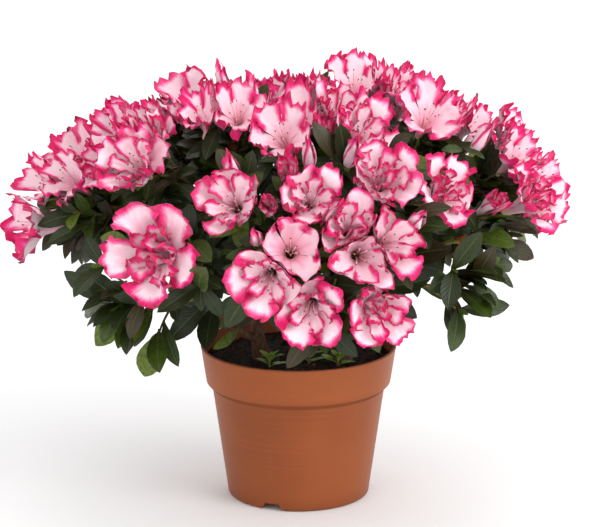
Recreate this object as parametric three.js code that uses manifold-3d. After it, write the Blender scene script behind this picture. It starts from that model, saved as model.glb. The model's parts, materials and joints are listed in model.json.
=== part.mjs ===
// Azalea shrub in full bloom, in the plastic pot that it was raised in.
// Millimetres, +Z up, origin in the middle of the pot's underside. The front is towards -Y.
//
// Three woody stems rise from the soil and fork into boughs. Each bough ends where it enters a mass:
// a truss of blossoms, buds and leafy shoots that has a sector of the crown to itself. Between
// a mass and its neighbours, and between a mass and the limbs, there is always a little air.

import * as THREE from 'three';
import { mergeVertices } from 'three/addons/utils/BufferGeometryUtils.js';
import Module from 'manifold-3d';

const wasm = await Module();
wasm.setup();

// ---------------------------------------------------------------- driving dimensions

const clearance = 0.3; // air between pieces that touch
const twinDistance = 0.0012; // corners nearer to each other than this count as one

const pot = {
  height: 102,
  rimRadius: 65,
  lip: 0.8,
  wall: 1.5,
  bandHeight: 26.5, // the upright band round the rim
  bandFootRadius: 60.8,
  stepHeight: 4, // the sloping step under the band
  bodyRadius: 56,
  ringDrop: 7.5, // the moulded line below the step
  ringDepth: 0.9,
  footRadius: 46,
  footRounding: 1.6,
  floor: 5,
  segments: 32,
  notch: { count: 3, width: 13, topWidth: 10, height: 4, depth: 4.5, bearing: -22 },
};

const soil = { level: 94, edgeDrop: 1.5, edgeWidth: 7 };

const crown = {
  centre: new THREE.Vector3(0, 0, 182),
  reach: new THREE.Vector3(184, 166, 107), // half-axes of the shell in which the blossoms open
  heart: new THREE.Vector3(0, 0, 146), // where the boughs seem to come from
  siteScale: 0.95,
  leafyScale: 0.84,
  innerScale: 0.34, // leaves stay outside this part of the crown, which only boughs cross
  outerScale: 1.13,
};

const stems = [
  { name: 'stem_right', foot: [28, -7], top: [21, -12, 146], radius: 5.2 },
  { name: 'stem_left', foot: [-24, -5], top: [-26, -10, 142], radius: 4.8 },
  { name: 'stem_back', foot: [4, 25], top: [0, 24, 148], radius: 5 },
];
const stemShape = { sides: 7, rings: 6, flare: 1.65, taper: 0.66, bow: 5 };

const boughShape = {
  sides: 4,
  rings: 4,
  startShare: 0.74, // of the radius of the limb that it leaves
  startRadius: { least: 1.7, most: 3 },
  leaderShare: 0.94, // the same for a bough that goes on from a stem's tip
  endRadius: 1.5,
  turnCost: 1.7, // how much a way with a sharp turn counts against a straight one
  outward: 0.7, // how strongly a bough springs away from its parent at first
  upward: 0.15,
  bendShare: 0.42,
  leaderBendShare: 0.3,
  forkRoom: 5,
  air: 1.1, // least gap between two limbs
  forkShares: [0.2, 0.26, 0.32, 0.38, 0.44, 0.5, 0.56, 0.62, 0.68, 0.74, 0.8],
  forkSpacing: 5,
  leastLength: 16,
  tipShare: 0.48, // how far out from the heart a bough ends, and its mass begins
  hubShare: 0.72, // how far out the mass's own stem forks into twigs
};

const blossom = {
  size: 50,
  length: 33,
  sizeRange: [0.9, 1.12],
  baseRadius: 2,
  throatHeight: 0.54, // of the length, as are the next two
  heartHeight: 0.42,
  anchorHeight: 0.62,
  tubeShare: 0.34, // of the full radius, as is the next
  notchShare: 0.76,
};
const bud = { length: 25, radius: 5.6, sides: 5 };
const opening = { size: 19, length: 34 };
const leaf = {
  length: 43,
  lengthRange: [0.78, 1.2],
  lengthTries: [1, 0.78, 0.6],
  widthShare: 0.46,
  thicknessShare: 0.02,
  archShare: 0.08,
  spacing: 3.6,
  leafySpacing: 5,
  turnPerTwig: 70,
  forward: [0.45, 1.35], // how far a leaf leans along its twig
  droop: 0.6,
  limbRoom: 3.5,
  blossomRoom: 0.8,
  most: 13, // to a mass
};
// A tuft of young leaves stands on the soil in front of the stems, no higher than its ceiling.
const tuft = { foot: [7, -18], height: 6, radius: 1.2, leaves: 9, leafLength: 16, ceiling: 103.8 };
const twig = { baseRadius: 0.72, endRadius: 0.8, forkStep: 0.11, lastFork: 0.75, limbRoom: 1, sides: 3 };
const shootShape = {
  ringRange: [0.92, 1.08],
  bloomScale: 0.99, // of the crown's shell
  scaleSpread: 0.05,
  fromHub: 0.75, // how far a shoot faces away from its hub rather than square to the crown
  lean: 0.12,
  budLean: 0.5,
  wobble: 0.2,
};

// The masses. Bearing is in degrees round the crown from the front, positive to the right. Lift is
// in degrees above the widest level. Shoots stand on a ring round the mass's middle, spaced evenly
// from the angle turn, anticlockwise from the outside; the middle may hold one more.
const frontMasses = [
  { name: 'left', bearing: -85, lift: 20, reach: 1.02, ring: 34, turn: 95, middle: 'bloom',
    shoots: 'bloom bloom leafy bloom leafy bloom' },
  { name: 'upper_left', bearing: -66, lift: 47, ring: 38, turn: -28, middle: 'bud',
    shoots: 'bloom bloom bloom bloom bloom' },
  { name: 'big_left', bearing: -34, lift: 9, reach: 0.97, ring: 42, turn: 195, middle: 'bloom', size: 64,
    shoots: 'leafy leafy leafy' },
  { name: 'top_left', bearing: -62, lift: 68, reach: 1.01, ring: 31, turn: -50, middle: 'bloom',
    shoots: 'bloom bloom bud bud bloom bloom' },
  { name: 'inner_left', bearing: -18, lift: 37, ring: 19, turn: 100, middle: '',
    shoots: 'bud bloom' },
  { name: 'middle', bearing: -2, lift: 35, reach: 0.97, ring: 19, turn: 100, middle: '',
    shoots: 'opening opening bloom' },
  { name: 'top_middle', bearing: 12, lift: 63, reach: 0.95, ring: 31, turn: -60, middle: 'opening',
    shoots: 'bud bloom bloom bloom bloom bud' },
  { name: 'top_right', bearing: 106, lift: 70, reach: 1.05, ring: 28, turn: 10, middle: 'bloom',
    shoots: 'bloom bloom bloom bloom' },
  { name: 'upper_right', bearing: 82, lift: 54, reach: 1.03, ring: 30, turn: 150, middle: 'bloom',
    shoots: 'bloom bud bloom bloom bloom' },
  { name: 'inner_right', bearing: 31, lift: 35, ring: 27, turn: -20, middle: '',
    shoots: 'bloom leafy bloom bud' },
  { name: 'right', bearing: 87, lift: 30, reach: 1.03, ring: 36, turn: 160, middle: 'bloom',
    shoots: 'bloom bloom leafy bloom bloom bloom' },
  { name: 'low_right', bearing: 59, lift: 13, ring: 25, turn: 125, middle: '',
    shoots: 'opening leafy leafy bloom' },
  { name: 'centre', bearing: -5, lift: 13, reach: 0.97, ring: 18, turn: 15, middle: '',
    shoots: 'bloom bud bloom' },
  { name: 'centre_right', bearing: 15, lift: 15, reach: 0.97, ring: 20, turn: 10, middle: '',
    shoots: 'bloom bloom bloom' },
  { name: 'front_low', bearing: 9, lift: -11, reach: 0.95, ring: 30, turn: -3, middle: '',
    shoots: 'bloom leafy bloom leafy' },
  { name: 'leaves_left', bearing: -52, lift: -20, ring: 36, turn: 20, middle: 'leafy',
    shoots: 'leafy leafy leafy leafy' },
  { name: 'leaves_right', bearing: 50, lift: -9, reach: 0.97, ring: 30, turn: 30, middle: 'leafy',
    shoots: 'leafy leafy leafy' },
];

// The back of the crown is full too, in rows of like trusses.
const backRows = [
  { name: 'back_low', lift: 13, reach: 1, firstBearing: 121, step: 41, count: 4, ring: 33,
    shoots: 'bloom leafy bloom bloom' },
  { name: 'back_high', lift: 41, reach: 0.94, firstBearing: 130, step: 50, count: 3, ring: 34,
    shoots: 'bloom bloom bud bloom' },
  { name: 'back_top', lift: 70, reach: 0.91, firstBearing: 188, step: 0, count: 1, ring: 29,
    shoots: 'bloom bloom bud bloom' },
  { name: 'back_leaves', lift: -17, reach: 1, firstBearing: 145, step: 70, count: 2, ring: 34,
    shoots: 'leafy leafy leafy' },
];

const goldenAngle = 137.5;
const degree = Math.PI / 180;
const up = new THREE.Vector3(0, 0, 1);

// ---------------------------------------------------------------- small helpers

function makeRandom(seed) {
  let state = seed >>> 0;
  return () => {
    state = (Math.imul(state, 1664525) + 1013904223) >>> 0;
    return state / 4294967296;
  };
}

const mix = (a, b, share) => a + (b - a) * share;
const along = (a, b, share) => a.clone().lerp(b, share);
const stepFrom = (point, direction, distance) => point.clone().addScaledVector(direction, distance);

function crownDirection(bearing, lift) {
  const b = bearing * degree;
  const l = lift * degree;
  return new THREE.Vector3(Math.sin(b) * Math.cos(l), -Math.cos(b) * Math.cos(l), Math.sin(l));
}

const crownPoint = (bearing, lift, scale) =>
  crownDirection(bearing, lift).multiply(crown.reach).multiplyScalar(scale).add(crown.centre);

const crownScaleAt = (point) => point.clone().sub(crown.centre).divide(crown.reach).length();

const crownNormalAt = (point) =>
  point.clone().sub(crown.centre).divide(crown.reach).divide(crown.reach).normalize();

const slideToScale = (point, scale) =>
  stepFrom(crown.centre, point.clone().sub(crown.centre), scale / crownScaleAt(point));

// Two directions square to an axis: the first level where that is possible, the second upwards.
function squareTo(axis) {
  const guide = Math.abs(axis.z) > 0.98 ? new THREE.Vector3(0, 1, 0) : up;
  const side = new THREE.Vector3().crossVectors(guide, axis).normalize();
  return [side, new THREE.Vector3().crossVectors(axis, side)];
}

// ---------------------------------------------------------------- limbs

function curvePoint(limb, share) {
  const a = along(limb.start, limb.bend, share);
  const b = along(limb.bend, limb.end, share);
  return { point: a.clone().lerp(b, share), tangent: b.sub(a).normalize() };
}

const limbRadius = (limb, share) => {
  const flare = limb.flare ? (limb.flare - 1) * Math.exp(-share * 9) : 0;
  return mix(limb.startRadius, limb.endRadius, share) * (1 + flare);
};

function planStems() {
  return stems.map(({ name, foot, top, radius }) => {
    const start = new THREE.Vector3(foot[0], foot[1], soil.level + clearance);
    const end = new THREE.Vector3(...top);
    const bend = along(start, end, 0.5).addScaledVector(start.clone().setZ(0).normalize(), stemShape.bow);
    return { name, start, bend, end, startRadius: radius, endRadius: radius * stemShape.taper,
      flare: stemShape.flare, sides: stemShape.sides, rings: stemShape.rings };
  });
}

const limbSamples = 12;
const closeSamples = 2 * limbSamples;

function limbsTouch(limb, other, skipNear) {
  for (let i = 0; i <= limbSamples; i++) {
    const a = curvePoint(limb, i / limbSamples).point;
    if (skipNear && a.distanceTo(limb.start) < skipNear) continue;
    for (let j = 0; j <= limbSamples; j++) {
      const b = curvePoint(other, j / limbSamples).point;
      const gap = a.distanceTo(b) - limbRadius(limb, i / limbSamples) - limbRadius(other, j / limbSamples);
      if (gap < boughShape.air) return true;
    }
  }
  return false;
}

// A bough leaves the limb from which it has the easiest way to its mass, or goes on from a stem's tip.
function planBough(mass, limbs) {
  const choices = [];
  for (const parent of limbs) {
    const shares = parent.flare && !parent.leader ? [...boughShape.forkShares, 1] : boughShape.forkShares;
    for (const share of shares) {
      const { point, tangent } = curvePoint(parent, share);
      const reach = mass.tip.clone().sub(point);
      const distance = reach.length();
      if (distance < boughShape.leastLength) continue;
      const cost = distance * (boughShape.turnCost - reach.normalize().dot(tangent));
      choices.push({ parent, share, point, tangent, reach, distance, cost });
    }
  }
  choices.sort((a, b) => a.cost - b.cost);
  for (const { parent, share, point, tangent, reach, distance } of choices) {
    const leads = share === 1;
    const length = parent.start.distanceTo(parent.end);
    if (parent.forks.some((fork) => Math.abs(fork - share) * length < boughShape.forkSpacing)) continue;
    const away = reach.clone().addScaledVector(tangent, -reach.dot(tangent)).normalize();
    const leave = leads ? tangent.clone()
      : reach.clone().addScaledVector(away, boughShape.outward).addScaledVector(up, boughShape.upward);
    const startRadius = leads ? parent.endRadius * boughShape.leaderShare
      : THREE.MathUtils.clamp(limbRadius(parent, share) * boughShape.startShare,
        boughShape.startRadius.least, boughShape.startRadius.most);
    const start = leads ? stepFrom(point, tangent, clearance) : point;
    const bendShare = leads ? boughShape.leaderBendShare : boughShape.bendShare;
    const bend = stepFrom(start, leave.normalize(), distance * bendShare);
    const { endRadius, sides, rings } = boughShape;
    const bough = { name: `bough_${mass.name}`, parent, start, bend, end: mass.tip, startRadius, endRadius,
      sides, rings, forks: [] };
    const forkRoom = limbRadius(parent, share) + startRadius + boughShape.forkRoom;
    const near = (other) => (other === parent || other.parent === parent ? forkRoom : 0);
    if (limbs.some((other) => limbsTouch(bough, other, near(other)))) continue;
    if (leads) parent.leader = bough;
    parent.forks.push(share);
    return bough;
  }
  throw new Error(`no way to ${mass.name}`);
}

// ---------------------------------------------------------------- masses

function listMasses() {
  const list = frontMasses.map((mass) => ({ size: blossom.size, reach: 1, ...mass }));
  for (const { name, firstBearing, step, count, ...row } of backRows) {
    for (let i = 0; i < count; i++) {
      list.push({ ...row, name: `${name}_${i + 1}`, bearing: firstBearing + i * step, size: blossom.size,
        turn: 40 + i * 77, middle: row.shoots.split(' ')[0] });
    }
  }
  return list.map((mass, index) => {
    const site = crownPoint(mass.bearing, mass.lift, crown.siteScale * mass.reach);
    return { ...mass, index, site, tip: along(crown.heart, site, boughShape.tipShare),
      hub: along(crown.heart, site, boughShape.hubShare), random: makeRandom(7001 + 97 * index) };
  });
}

// The sector of a mass is bounded by the planes halfway to the other masses' sites.
function sectorPlanes(mass, masses) {
  return masses.filter((other) => other !== mass).map((other) => {
    const normal = other.site.clone().sub(mass.site);
    const distance = normal.length();
    normal.normalize();
    return { normal, limit: normal.dot(mass.site) + distance / 2 - clearance };
  });
}

const overhang = (point, planes) => {
  let most = -Infinity;
  for (const { normal, limit } of planes) most = Math.max(most, normal.dot(point) - limit);
  return most;
};

// Draws a point back towards an anchor until it is on the right side of every plane.
function keepInside(point, anchor, planes) {
  let share = 1;
  for (const { normal, limit } of planes) {
    const far = normal.dot(point);
    const near = normal.dot(anchor);
    if (far > limit && far > near) share = Math.min(share, Math.max(0, (limit - near) / (far - near)));
  }
  return along(anchor, point, share);
}

function planShoots(mass, planes, limbs) {
  const normal = crownNormalAt(mass.site);
  const [side, rise] = squareTo(normal);
  const kinds = mass.shoots.split(' ');
  const shoots = [];
  const add = (kind, offset, wobble) => {
    const scale = mass.reach * (kind === 'leafy' ? crown.leafyScale
      : shootShape.bloomScale + shootShape.scaleSpread * (mass.random() - 0.5));
    const size = { bloom: mass.size * mix(...blossom.sizeRange, mass.random()), opening: opening.size,
      bud: bud.radius * 2, leafy: 20 }[kind];
    const length = { bloom: blossom.length * (0.55 + 0.45 * size / blossom.size), opening: opening.length,
      bud: bud.length, leafy: 4 }[kind];
    const roll = mass.random() * 72;
    for (let share = 1; share > 0.3; share -= 0.1) {
      const spot = slideToScale(mass.site.clone().addScaledVector(offset, share), scale);
      const lean = kind === 'bud' ? shootShape.budLean : shootShape.lean + wobble;
      const facing = spot.clone().sub(mass.hub).normalize().multiplyScalar(shootShape.fromHub)
        .add(crownNormalAt(spot)).addScaledVector(up, lean).normalize();
      const base = stepFrom(spot, facing, -length);
      const fork = along(mass.hub, mass.tip, Math.min(twig.lastFork, twig.forkStep * shoots.length));
      if (overhang(spot, planes) > -size * 0.3 || overhang(base, planes) > -3) continue;
      if (twigTouchesLimb(fork, base, limbs)) continue;
      shoots.push({ kind, spot, facing, size, length, fork, base, roll });
      return;
    }
  };
  if (mass.middle) add(mass.middle, new THREE.Vector3(), 0);
  kinds.forEach((kind, i) => {
    const angle = (mass.turn + (360 * i) / kinds.length) * degree;
    const ring = mass.ring * mix(...shootShape.ringRange, mass.random());
    const offset = side.clone().multiplyScalar(Math.cos(angle) * ring)
      .addScaledVector(rise, Math.sin(angle) * ring);
    add(kind, offset, shootShape.wobble * (mass.random() - 0.5));
  });
  return shoots;
}

function twigTouchesLimb(from, to, limbs) {
  for (const limb of limbs) {
    for (let i = 0; i <= closeSamples; i++) {
      const { point } = curvePoint(limb, i / closeSamples);
      const room = limbRadius(limb, i / closeSamples) + twig.baseRadius + twig.limbRoom;
      for (let share = 0; share <= 1; share += 0.125) {
        if (along(from, to, share).distanceTo(point) < room) return true;
      }
    }
  }
  return false;
}

// How far a blossom's outside stands from its axis, at a height above its base.
function blossomRadiusAt(shoot, height) {
  const share = height / shoot.length;
  if (share < -0.08 || share > 1.15) return 0;
  const full = shoot.size / 2;
  const throat = full * blossom.tubeShare;
  const { throatHeight } = blossom;
  return share < throatHeight ? mix(blossom.baseRadius, throat, Math.max(0, share) / throatHeight)
    : mix(throat, full, Math.min(1, (share - throatHeight) / (1 - throatHeight)));
}

function insideBlossom(point, shoot, margin) {
  const height = point.clone().sub(shoot.base).dot(shoot.facing);
  const radius = blossomRadiusAt(shoot, height);
  return radius > 0 && point.distanceTo(stepFrom(shoot.base, shoot.facing, height)) < radius + margin;
}

const potFrontier = pot.rimRadius + 2.5;
const clearOfPot = (point) =>
  point.z > pot.height + 2.5 || Math.hypot(point.x, point.y) > potFrontier;

// Leaves stand on a mass's stem and twigs by turns of the golden angle. One that would leave its
// sector, the crown or the air round a limb, a blossom or another leaf is tried shorter, or left out.
function planLeaves(mass, shoots, planes, limbs) {
  const leaves = [];
  const random = makeRandom(50021 + 131 * mass.index);
  const lines = [{ from: mass.tip, to: mass.hub, first: 0.15, last: 0.95, spacing: leaf.spacing }];
  for (const { fork, base, kind } of shoots) {
    const leafy = kind === 'leafy';
    lines.push({ from: fork, to: base, first: leafy ? 0.4 : 0.3, last: leafy ? 1 : 0.9,
      spacing: leafy ? leaf.leafySpacing : leaf.spacing });
  }
  lines.forEach(({ from, to, first, last, spacing }, which) => {
    const axis = to.clone().sub(from);
    const reach = axis.length();
    axis.normalize();
    const [side, rise] = squareTo(axis);
    const tries = Math.max(2, Math.round((reach * (last - first)) / spacing));
    for (let i = 0; i < tries; i++) {
      const root = stepFrom(from, axis, reach * mix(first, last, (i + 0.5) / tries));
      const angle = (which * leaf.turnPerTwig + i * goldenAngle) * degree;
      const direction = side.clone().multiplyScalar(Math.cos(angle)).addScaledVector(rise, Math.sin(angle))
        .addScaledVector(axis, mix(...leaf.forward, random())).addScaledVector(up, -leaf.droop * random())
        .normalize();
      const fullLength = leaf.length * mix(...leaf.lengthRange, random());
      if (leaves.length === leaf.most) return;
      for (const share of leaf.lengthTries) {
        const each = shapeLeaf(root, direction, fullLength * share);
        if (!leafFits(each, planes, shoots, limbs)) continue;
        const clash = leaves.some((other) => leavesCross(each, other))
          || lines.some((line, other) => other !== which && segmentMeetsLeaf(line.from, line.to, each));
        if (clash) continue;
        leaves.push(each);
        break;
      }
    }
  });
  return leaves;
}

function shapeLeaf(root, direction, length, facing) {
  const width = length * leaf.widthShare;
  const tip = stepFrom(root, direction, length);
  const face = facing ? facing.clone() : crownNormalAt(tip).addScaledVector(up, 0.6);
  const flat = face.addScaledVector(direction, -face.dot(direction)).normalize();
  const across = new THREE.Vector3().crossVectors(direction, flat);
  const middle = stepFrom(root, direction, length * 0.5).addScaledVector(flat, length * leaf.archShare);
  const left = stepFrom(middle, across, width / 2);
  const right = stepFrom(middle, across, -width / 2);
  return { root, middle, tip, left, right, flat, length };
}

function leafFits({ root, middle, tip, left, right }, planes, shoots, limbs) {
  if (overhang(root, planes) > -0.5) return false;
  const halfway = [middle, left, right].map((mark) => along(mark, tip, 0.5));
  const marks = [along(root, middle, 0.4), middle, left, right, ...halfway, tip];
  const inPlace = marks.every((mark) => {
    const scale = crownScaleAt(mark);
    return scale > crown.innerScale && scale < crown.outerScale && overhang(mark, planes) < -0.2
      && clearOfPot(mark);
  });
  const inBlossom = (shoot) => shoot.kind !== 'leafy'
    && marks.some((mark) => insideBlossom(mark, shoot, leaf.blossomRoom));
  return inPlace && !limbs.some((limb) => nearLimb(limb, marks)) && !shoots.some(inBlossom);
}

function nearLimb(limb, marks) {
  for (let i = 0; i <= closeSamples; i++) {
    const share = i / closeSamples;
    const { point } = curvePoint(limb, share);
    const room = limbRadius(limb, share) + leaf.limbRoom;
    if (marks.some((mark) => mark.distanceTo(point) < room)) return true;
  }
  return false;
}

const meetMargin = 0.05; // of a leaf's size, so that leaves don't just miss one another

function segmentMeetsTriangle(from, to, a, b, c) {
  const ray = to.clone().sub(from);
  const edgeB = b.clone().sub(a);
  const edgeC = c.clone().sub(a);
  const cross = new THREE.Vector3().crossVectors(ray, edgeC);
  const scale = edgeB.dot(cross);
  if (Math.abs(scale) < 1e-9) return false;
  const offset = from.clone().sub(a);
  const u = offset.dot(cross) / scale;
  if (u < -meetMargin || u > 1 + meetMargin) return false;
  const other = offset.cross(edgeB);
  const v = ray.dot(other) / scale;
  if (v < -meetMargin || u + v > 1 + meetMargin) return false;
  const t = edgeC.dot(other) / scale;
  return t > -meetMargin && t < 1 + meetMargin;
}

const segmentMeetsLeaf = (from, to, { root, tip, left, right }) =>
  segmentMeetsTriangle(from, to, root, left, tip) || segmentMeetsTriangle(from, to, root, tip, right);

function leavesCross(a, b) {
  if (a.middle.distanceTo(b.middle) > (a.length + b.length) / 2) return false;
  if (a.middle.distanceTo(b.middle) < leaf.spacing) return true;
  const edges = ({ root, tip, left, right }) =>
    [[root, left], [left, tip], [tip, right], [right, root], [root, tip]];
  return edges(a).some(([from, to]) => segmentMeetsLeaf(from, to, b))
    || edges(b).some(([from, to]) => segmentMeetsLeaf(from, to, a));
}

// ---------------------------------------------------------------- solids

// Closed surface through rings of points: each ring a list of the same length.
function skinRings(rings) {
  const count = rings[0].length;
  const points = rings.flat();
  const faces = [];
  for (let r = 0; r + 1 < rings.length; r++) {
    for (let i = 0; i < count; i++) {
      const a = r * count + i;
      const b = r * count + ((i + 1) % count);
      faces.push([a, b, b + count], [a, b + count, a + count]);
    }
  }
  const last = (rings.length - 1) * count;
  for (let i = 1; i + 1 < count; i++) faces.push([0, i + 1, i], [last, last + i, last + i + 1]);
  return { points, faces };
}

function ringRound(centre, side, rise, radius, count, turn = 0) {
  return Array.from({ length: count }, (_, i) => {
    const angle = turn + (i / count) * 2 * Math.PI;
    return stepFrom(centre, side, Math.cos(angle) * radius).addScaledVector(rise, Math.sin(angle) * radius);
  });
}

function toManifold({ points, faces }) {
  const vertProperties = new Float32Array(points.flatMap((p) => [p.x, p.y, p.z]));
  const triVerts = new Uint32Array(faces.flat());
  return new wasm.Manifold(new wasm.Mesh({ numProp: 3, vertProperties, triVerts }));
}

function geometryToManifold(geometry) {
  geometry.deleteAttribute('normal');
  geometry.deleteAttribute('uv');
  const merged = mergeVertices(geometry, 1e-4);
  const index = merged.index.array;
  const triVerts = [];
  for (let i = 0; i < index.length; i += 3) {
    const [a, b, c] = [index[i], index[i + 1], index[i + 2]];
    if (a !== b && b !== c && c !== a) triVerts.push(a, b, c);
  }
  const mesh = { numProp: 3, vertProperties: new Float32Array(merged.attributes.position.array),
    triVerts: new Uint32Array(triVerts) };
  return new wasm.Manifold(new wasm.Mesh(mesh));
}

function manifoldToGeometry(solid) {
  const mesh = solid.getMesh();
  const geometry = new THREE.BufferGeometry();
  const positions = new Float32Array(mesh.numVert * 3);
  for (let i = 0; i < mesh.numVert; i++) {
    for (let k = 0; k < 3; k++) positions[3 * i + k] = mesh.vertProperties[mesh.numProp * i + k];
  }
  geometry.setAttribute('position', new THREE.BufferAttribute(positions, 3));
  geometry.setIndex([...mesh.triVerts]);
  geometry.computeVertexNormals();
  return geometry;
}

// A limb as a faceted, tapering tube; grown makes it that much thicker, to cut its neighbours with.
function limbSolid(limb, grown = 0) {
  const rings = [];
  let [side] = squareTo(curvePoint(limb, 0).tangent);
  for (let i = 0; i <= limb.rings; i++) {
    const share = i / limb.rings;
    const { point, tangent } = curvePoint(limb, share);
    const level = limb.flare && i === 0 ? up : tangent;
    side = side.clone().addScaledVector(level, -side.dot(level)).normalize();
    const rise = new THREE.Vector3().crossVectors(level, side);
    rings.push(ringRound(point, side, rise, limbRadius(limb, share) + grown, limb.sides));
  }
  return toManifold(skinRings(rings));
}

function twigSolid(from, to, startRadius, endRadius, sides, turn = 0, startAxis = null) {
  const axis = to.clone().sub(from).normalize();
  const [side] = squareTo(startAxis ?? axis);
  const ringAt = (centre, normal, radius) => {
    const level = side.clone().addScaledVector(normal, -side.dot(normal)).normalize();
    return ringRound(centre, level, new THREE.Vector3().crossVectors(normal, level), radius, sides, turn);
  };
  return toManifold(skinRings([ringAt(from, startAxis ?? axis, startRadius), ringAt(to, axis, endRadius)]));
}

// A blossom: a thin-walled funnel with five lobes. Foot and throat are rings of five points round the
// axis, the rim one of ten, and all are kept on this blossom's side of its neighbours.
function blossomSolid(shoot, planes, random) {
  const { base, facing, length, kind } = shoot;
  const full = shoot.size / 2;
  const [side, rise] = squareTo(facing);
  const open = kind === 'bloom';
  const place = (angle, radius, height) => {
    const turn = angle * degree + shoot.roll * degree;
    return stepFrom(base, facing, height * length).addScaledVector(side, Math.cos(turn) * radius)
      .addScaledVector(rise, Math.sin(turn) * radius);
  };
  const anchor = stepFrom(base, facing, blossom.anchorHeight * length);
  const points = [];
  const ring = (count, radius, height) => {
    const first = points.length;
    for (let i = 0; i < count; i++) points.push(place((360 / count) * i, radius(i), height(i)));
    return first;
  };
  const foot = ring(5, () => blossom.baseRadius, () => -0.04);
  const throat = ring(5, () => full * (open ? blossom.tubeShare : 0.7), () => blossom.throatHeight);
  const rim = ring(10,
    (i) => full * (i % 2 ? blossom.notchShare : mix(0.93, 1.06, random())),
    (i) => (i % 2 ? 1.02 : 0.98) + (random() - 0.5) * 0.16 - (open && i % 2 === 0 ? 0.04 : 0));
  points.push(place(0, 0, open ? blossom.heartHeight : blossom.anchorHeight));
  const heart = points.length - 1;
  for (let i = foot; i < rim + 10; i++) points[i] = keepInside(points[i], anchor, planes);
  const faces = [[foot, foot + 2, foot + 1], [foot, foot + 3, foot + 2], [foot, foot + 4, foot + 3]];
  for (let i = 0; i < 5; i++) {
    const next = (i + 1) % 5;
    const lobe = rim + 2 * i;
    const notch = rim + 2 * i + 1;
    const nextLobe = rim + 2 * next;
    faces.push([foot + i, foot + next, throat + next], [foot + i, throat + next, throat + i],
      [throat + i, notch, lobe], [throat + i, throat + next, notch], [throat + next, nextLobe, notch],
      [heart, lobe, notch], [heart, notch, nextLobe]);
  }
  return toManifold({ points, faces });
}

function budSolid(shoot, planes) {
  const { base, facing, length, size } = shoot;
  const [side, rise] = squareTo(facing);
  const count = bud.sides;
  const anchor = stepFrom(base, facing, length * 0.4);
  const points = [
    stepFrom(base, facing, -1),
    ...ringRound(stepFrom(base, facing, 0.22 * length), side, rise, size * 0.36, count),
    ...ringRound(stepFrom(base, facing, 0.58 * length), side, rise, size * 0.5, count),
    stepFrom(base, facing, length),
  ].map((point) => keepInside(point, anchor, planes));
  const faces = [];
  for (let i = 0; i < count; i++) {
    const a = 1 + i;
    const b = 1 + ((i + 1) % count);
    faces.push([0, b, a], [a, b, b + count], [a, b + count, a + count]);
    faces.push([a + count, b + count, 2 * count + 1]);
  }
  return toManifold({ points, faces });
}

// A leaf: eight faces, with its root sunk into the twig.
function leafSolid({ root, middle, tip, left, right, flat, length }) {
  const half = (leaf.thicknessShare * length) / 2;
  const points = [root, left, tip, right, stepFrom(middle, flat, half), stepFrom(middle, flat, -half)];
  const faces = [];
  for (let i = 0; i < 4; i++) faces.push([i, (i + 1) % 4, 4], [(i + 1) % 4, i, 5]);
  return toManifold({ points, faces });
}

// A blossom is walled in by its mass's sector and by the planes between it and its neighbours.
function wallsOf(shoot, shoots, planes) {
  const walls = [...planes];
  for (const other of shoots) {
    if (other === shoot || other.kind === 'leafy') continue;
    const normal = other.spot.clone().sub(shoot.spot);
    const distance = normal.length();
    normal.normalize();
    const share = THREE.MathUtils.clamp(shoot.size / (shoot.size + other.size), 0.3, 0.7);
    walls.push({ normal, limit: normal.dot(shoot.spot) + distance * share - clearance / 2 });
  }
  return walls;
}

function joinMass(mass, shoots, leaves, planes, turn) {
  const random = makeRandom(90001 + 17 * mass.index);
  const { tangent } = curvePoint(mass.bough, 1);
  const start = stepFrom(mass.bough.end, tangent, clearance);
  const radius = boughShape.endRadius;
  const stemEnd = stepFrom(mass.hub, mass.hub.clone().sub(start).normalize(), 1);
  const pieces = [twigSolid(start, stemEnd, radius, radius * 0.95, boughShape.sides, turn, tangent)];
  for (const shoot of shoots) {
    const end = stepFrom(shoot.base, shoot.facing, shoot.kind === 'leafy' ? 4 : 1);
    pieces.push(twigSolid(shoot.fork, end, twig.baseRadius, twig.endRadius, twig.sides, turn));
    if (shoot.kind === 'leafy') continue;
    const walls = wallsOf(shoot, shoots, planes);
    pieces.push(shoot.kind === 'bud' ? budSolid(shoot, walls) : blossomSolid(shoot, walls, random));
  }
  for (const each of leaves) pieces.push(leafSolid(each));
  return largestBody(wasm.Manifold.union(pieces));
}

function largestBody(solid) {
  return solid.decompose().reduce((a, b) => (b.volume() > a.volume() ? b : a));
}

function hasTwinVertices(solid) {
  const { vertProperties, numProp, numVert } = solid.getMesh();
  const cornerAt = (_, i) => new THREE.Vector3().fromArray(vertProperties, i * numProp);
  const points = Array.from({ length: numVert }, cornerAt);
  points.sort((a, b) => a.x - b.x);
  return points.some((point, i) => {
    for (let j = i + 1; j < points.length && points[j].x - point.x < twinDistance; j++) {
      if (points[j].distanceTo(point) < twinDistance) return true;
    }
    return false;
  });
}

// Where a leaf's edge meets a twig's, joining can leave two corners at one spot. Stem and twigs are
// then turned a little about their own axes, and the mass is joined again.
function massSolid(mass, shoots, leaves, planes) {
  for (let turn = 0; turn < 2; turn += 0.11) {
    const joined = joinMass(mass, shoots, leaves, planes, turn);
    if (!hasTwinVertices(joined)) return joined;
  }
  throw new Error(`${mass.name} can't be joined cleanly`);
}

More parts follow.
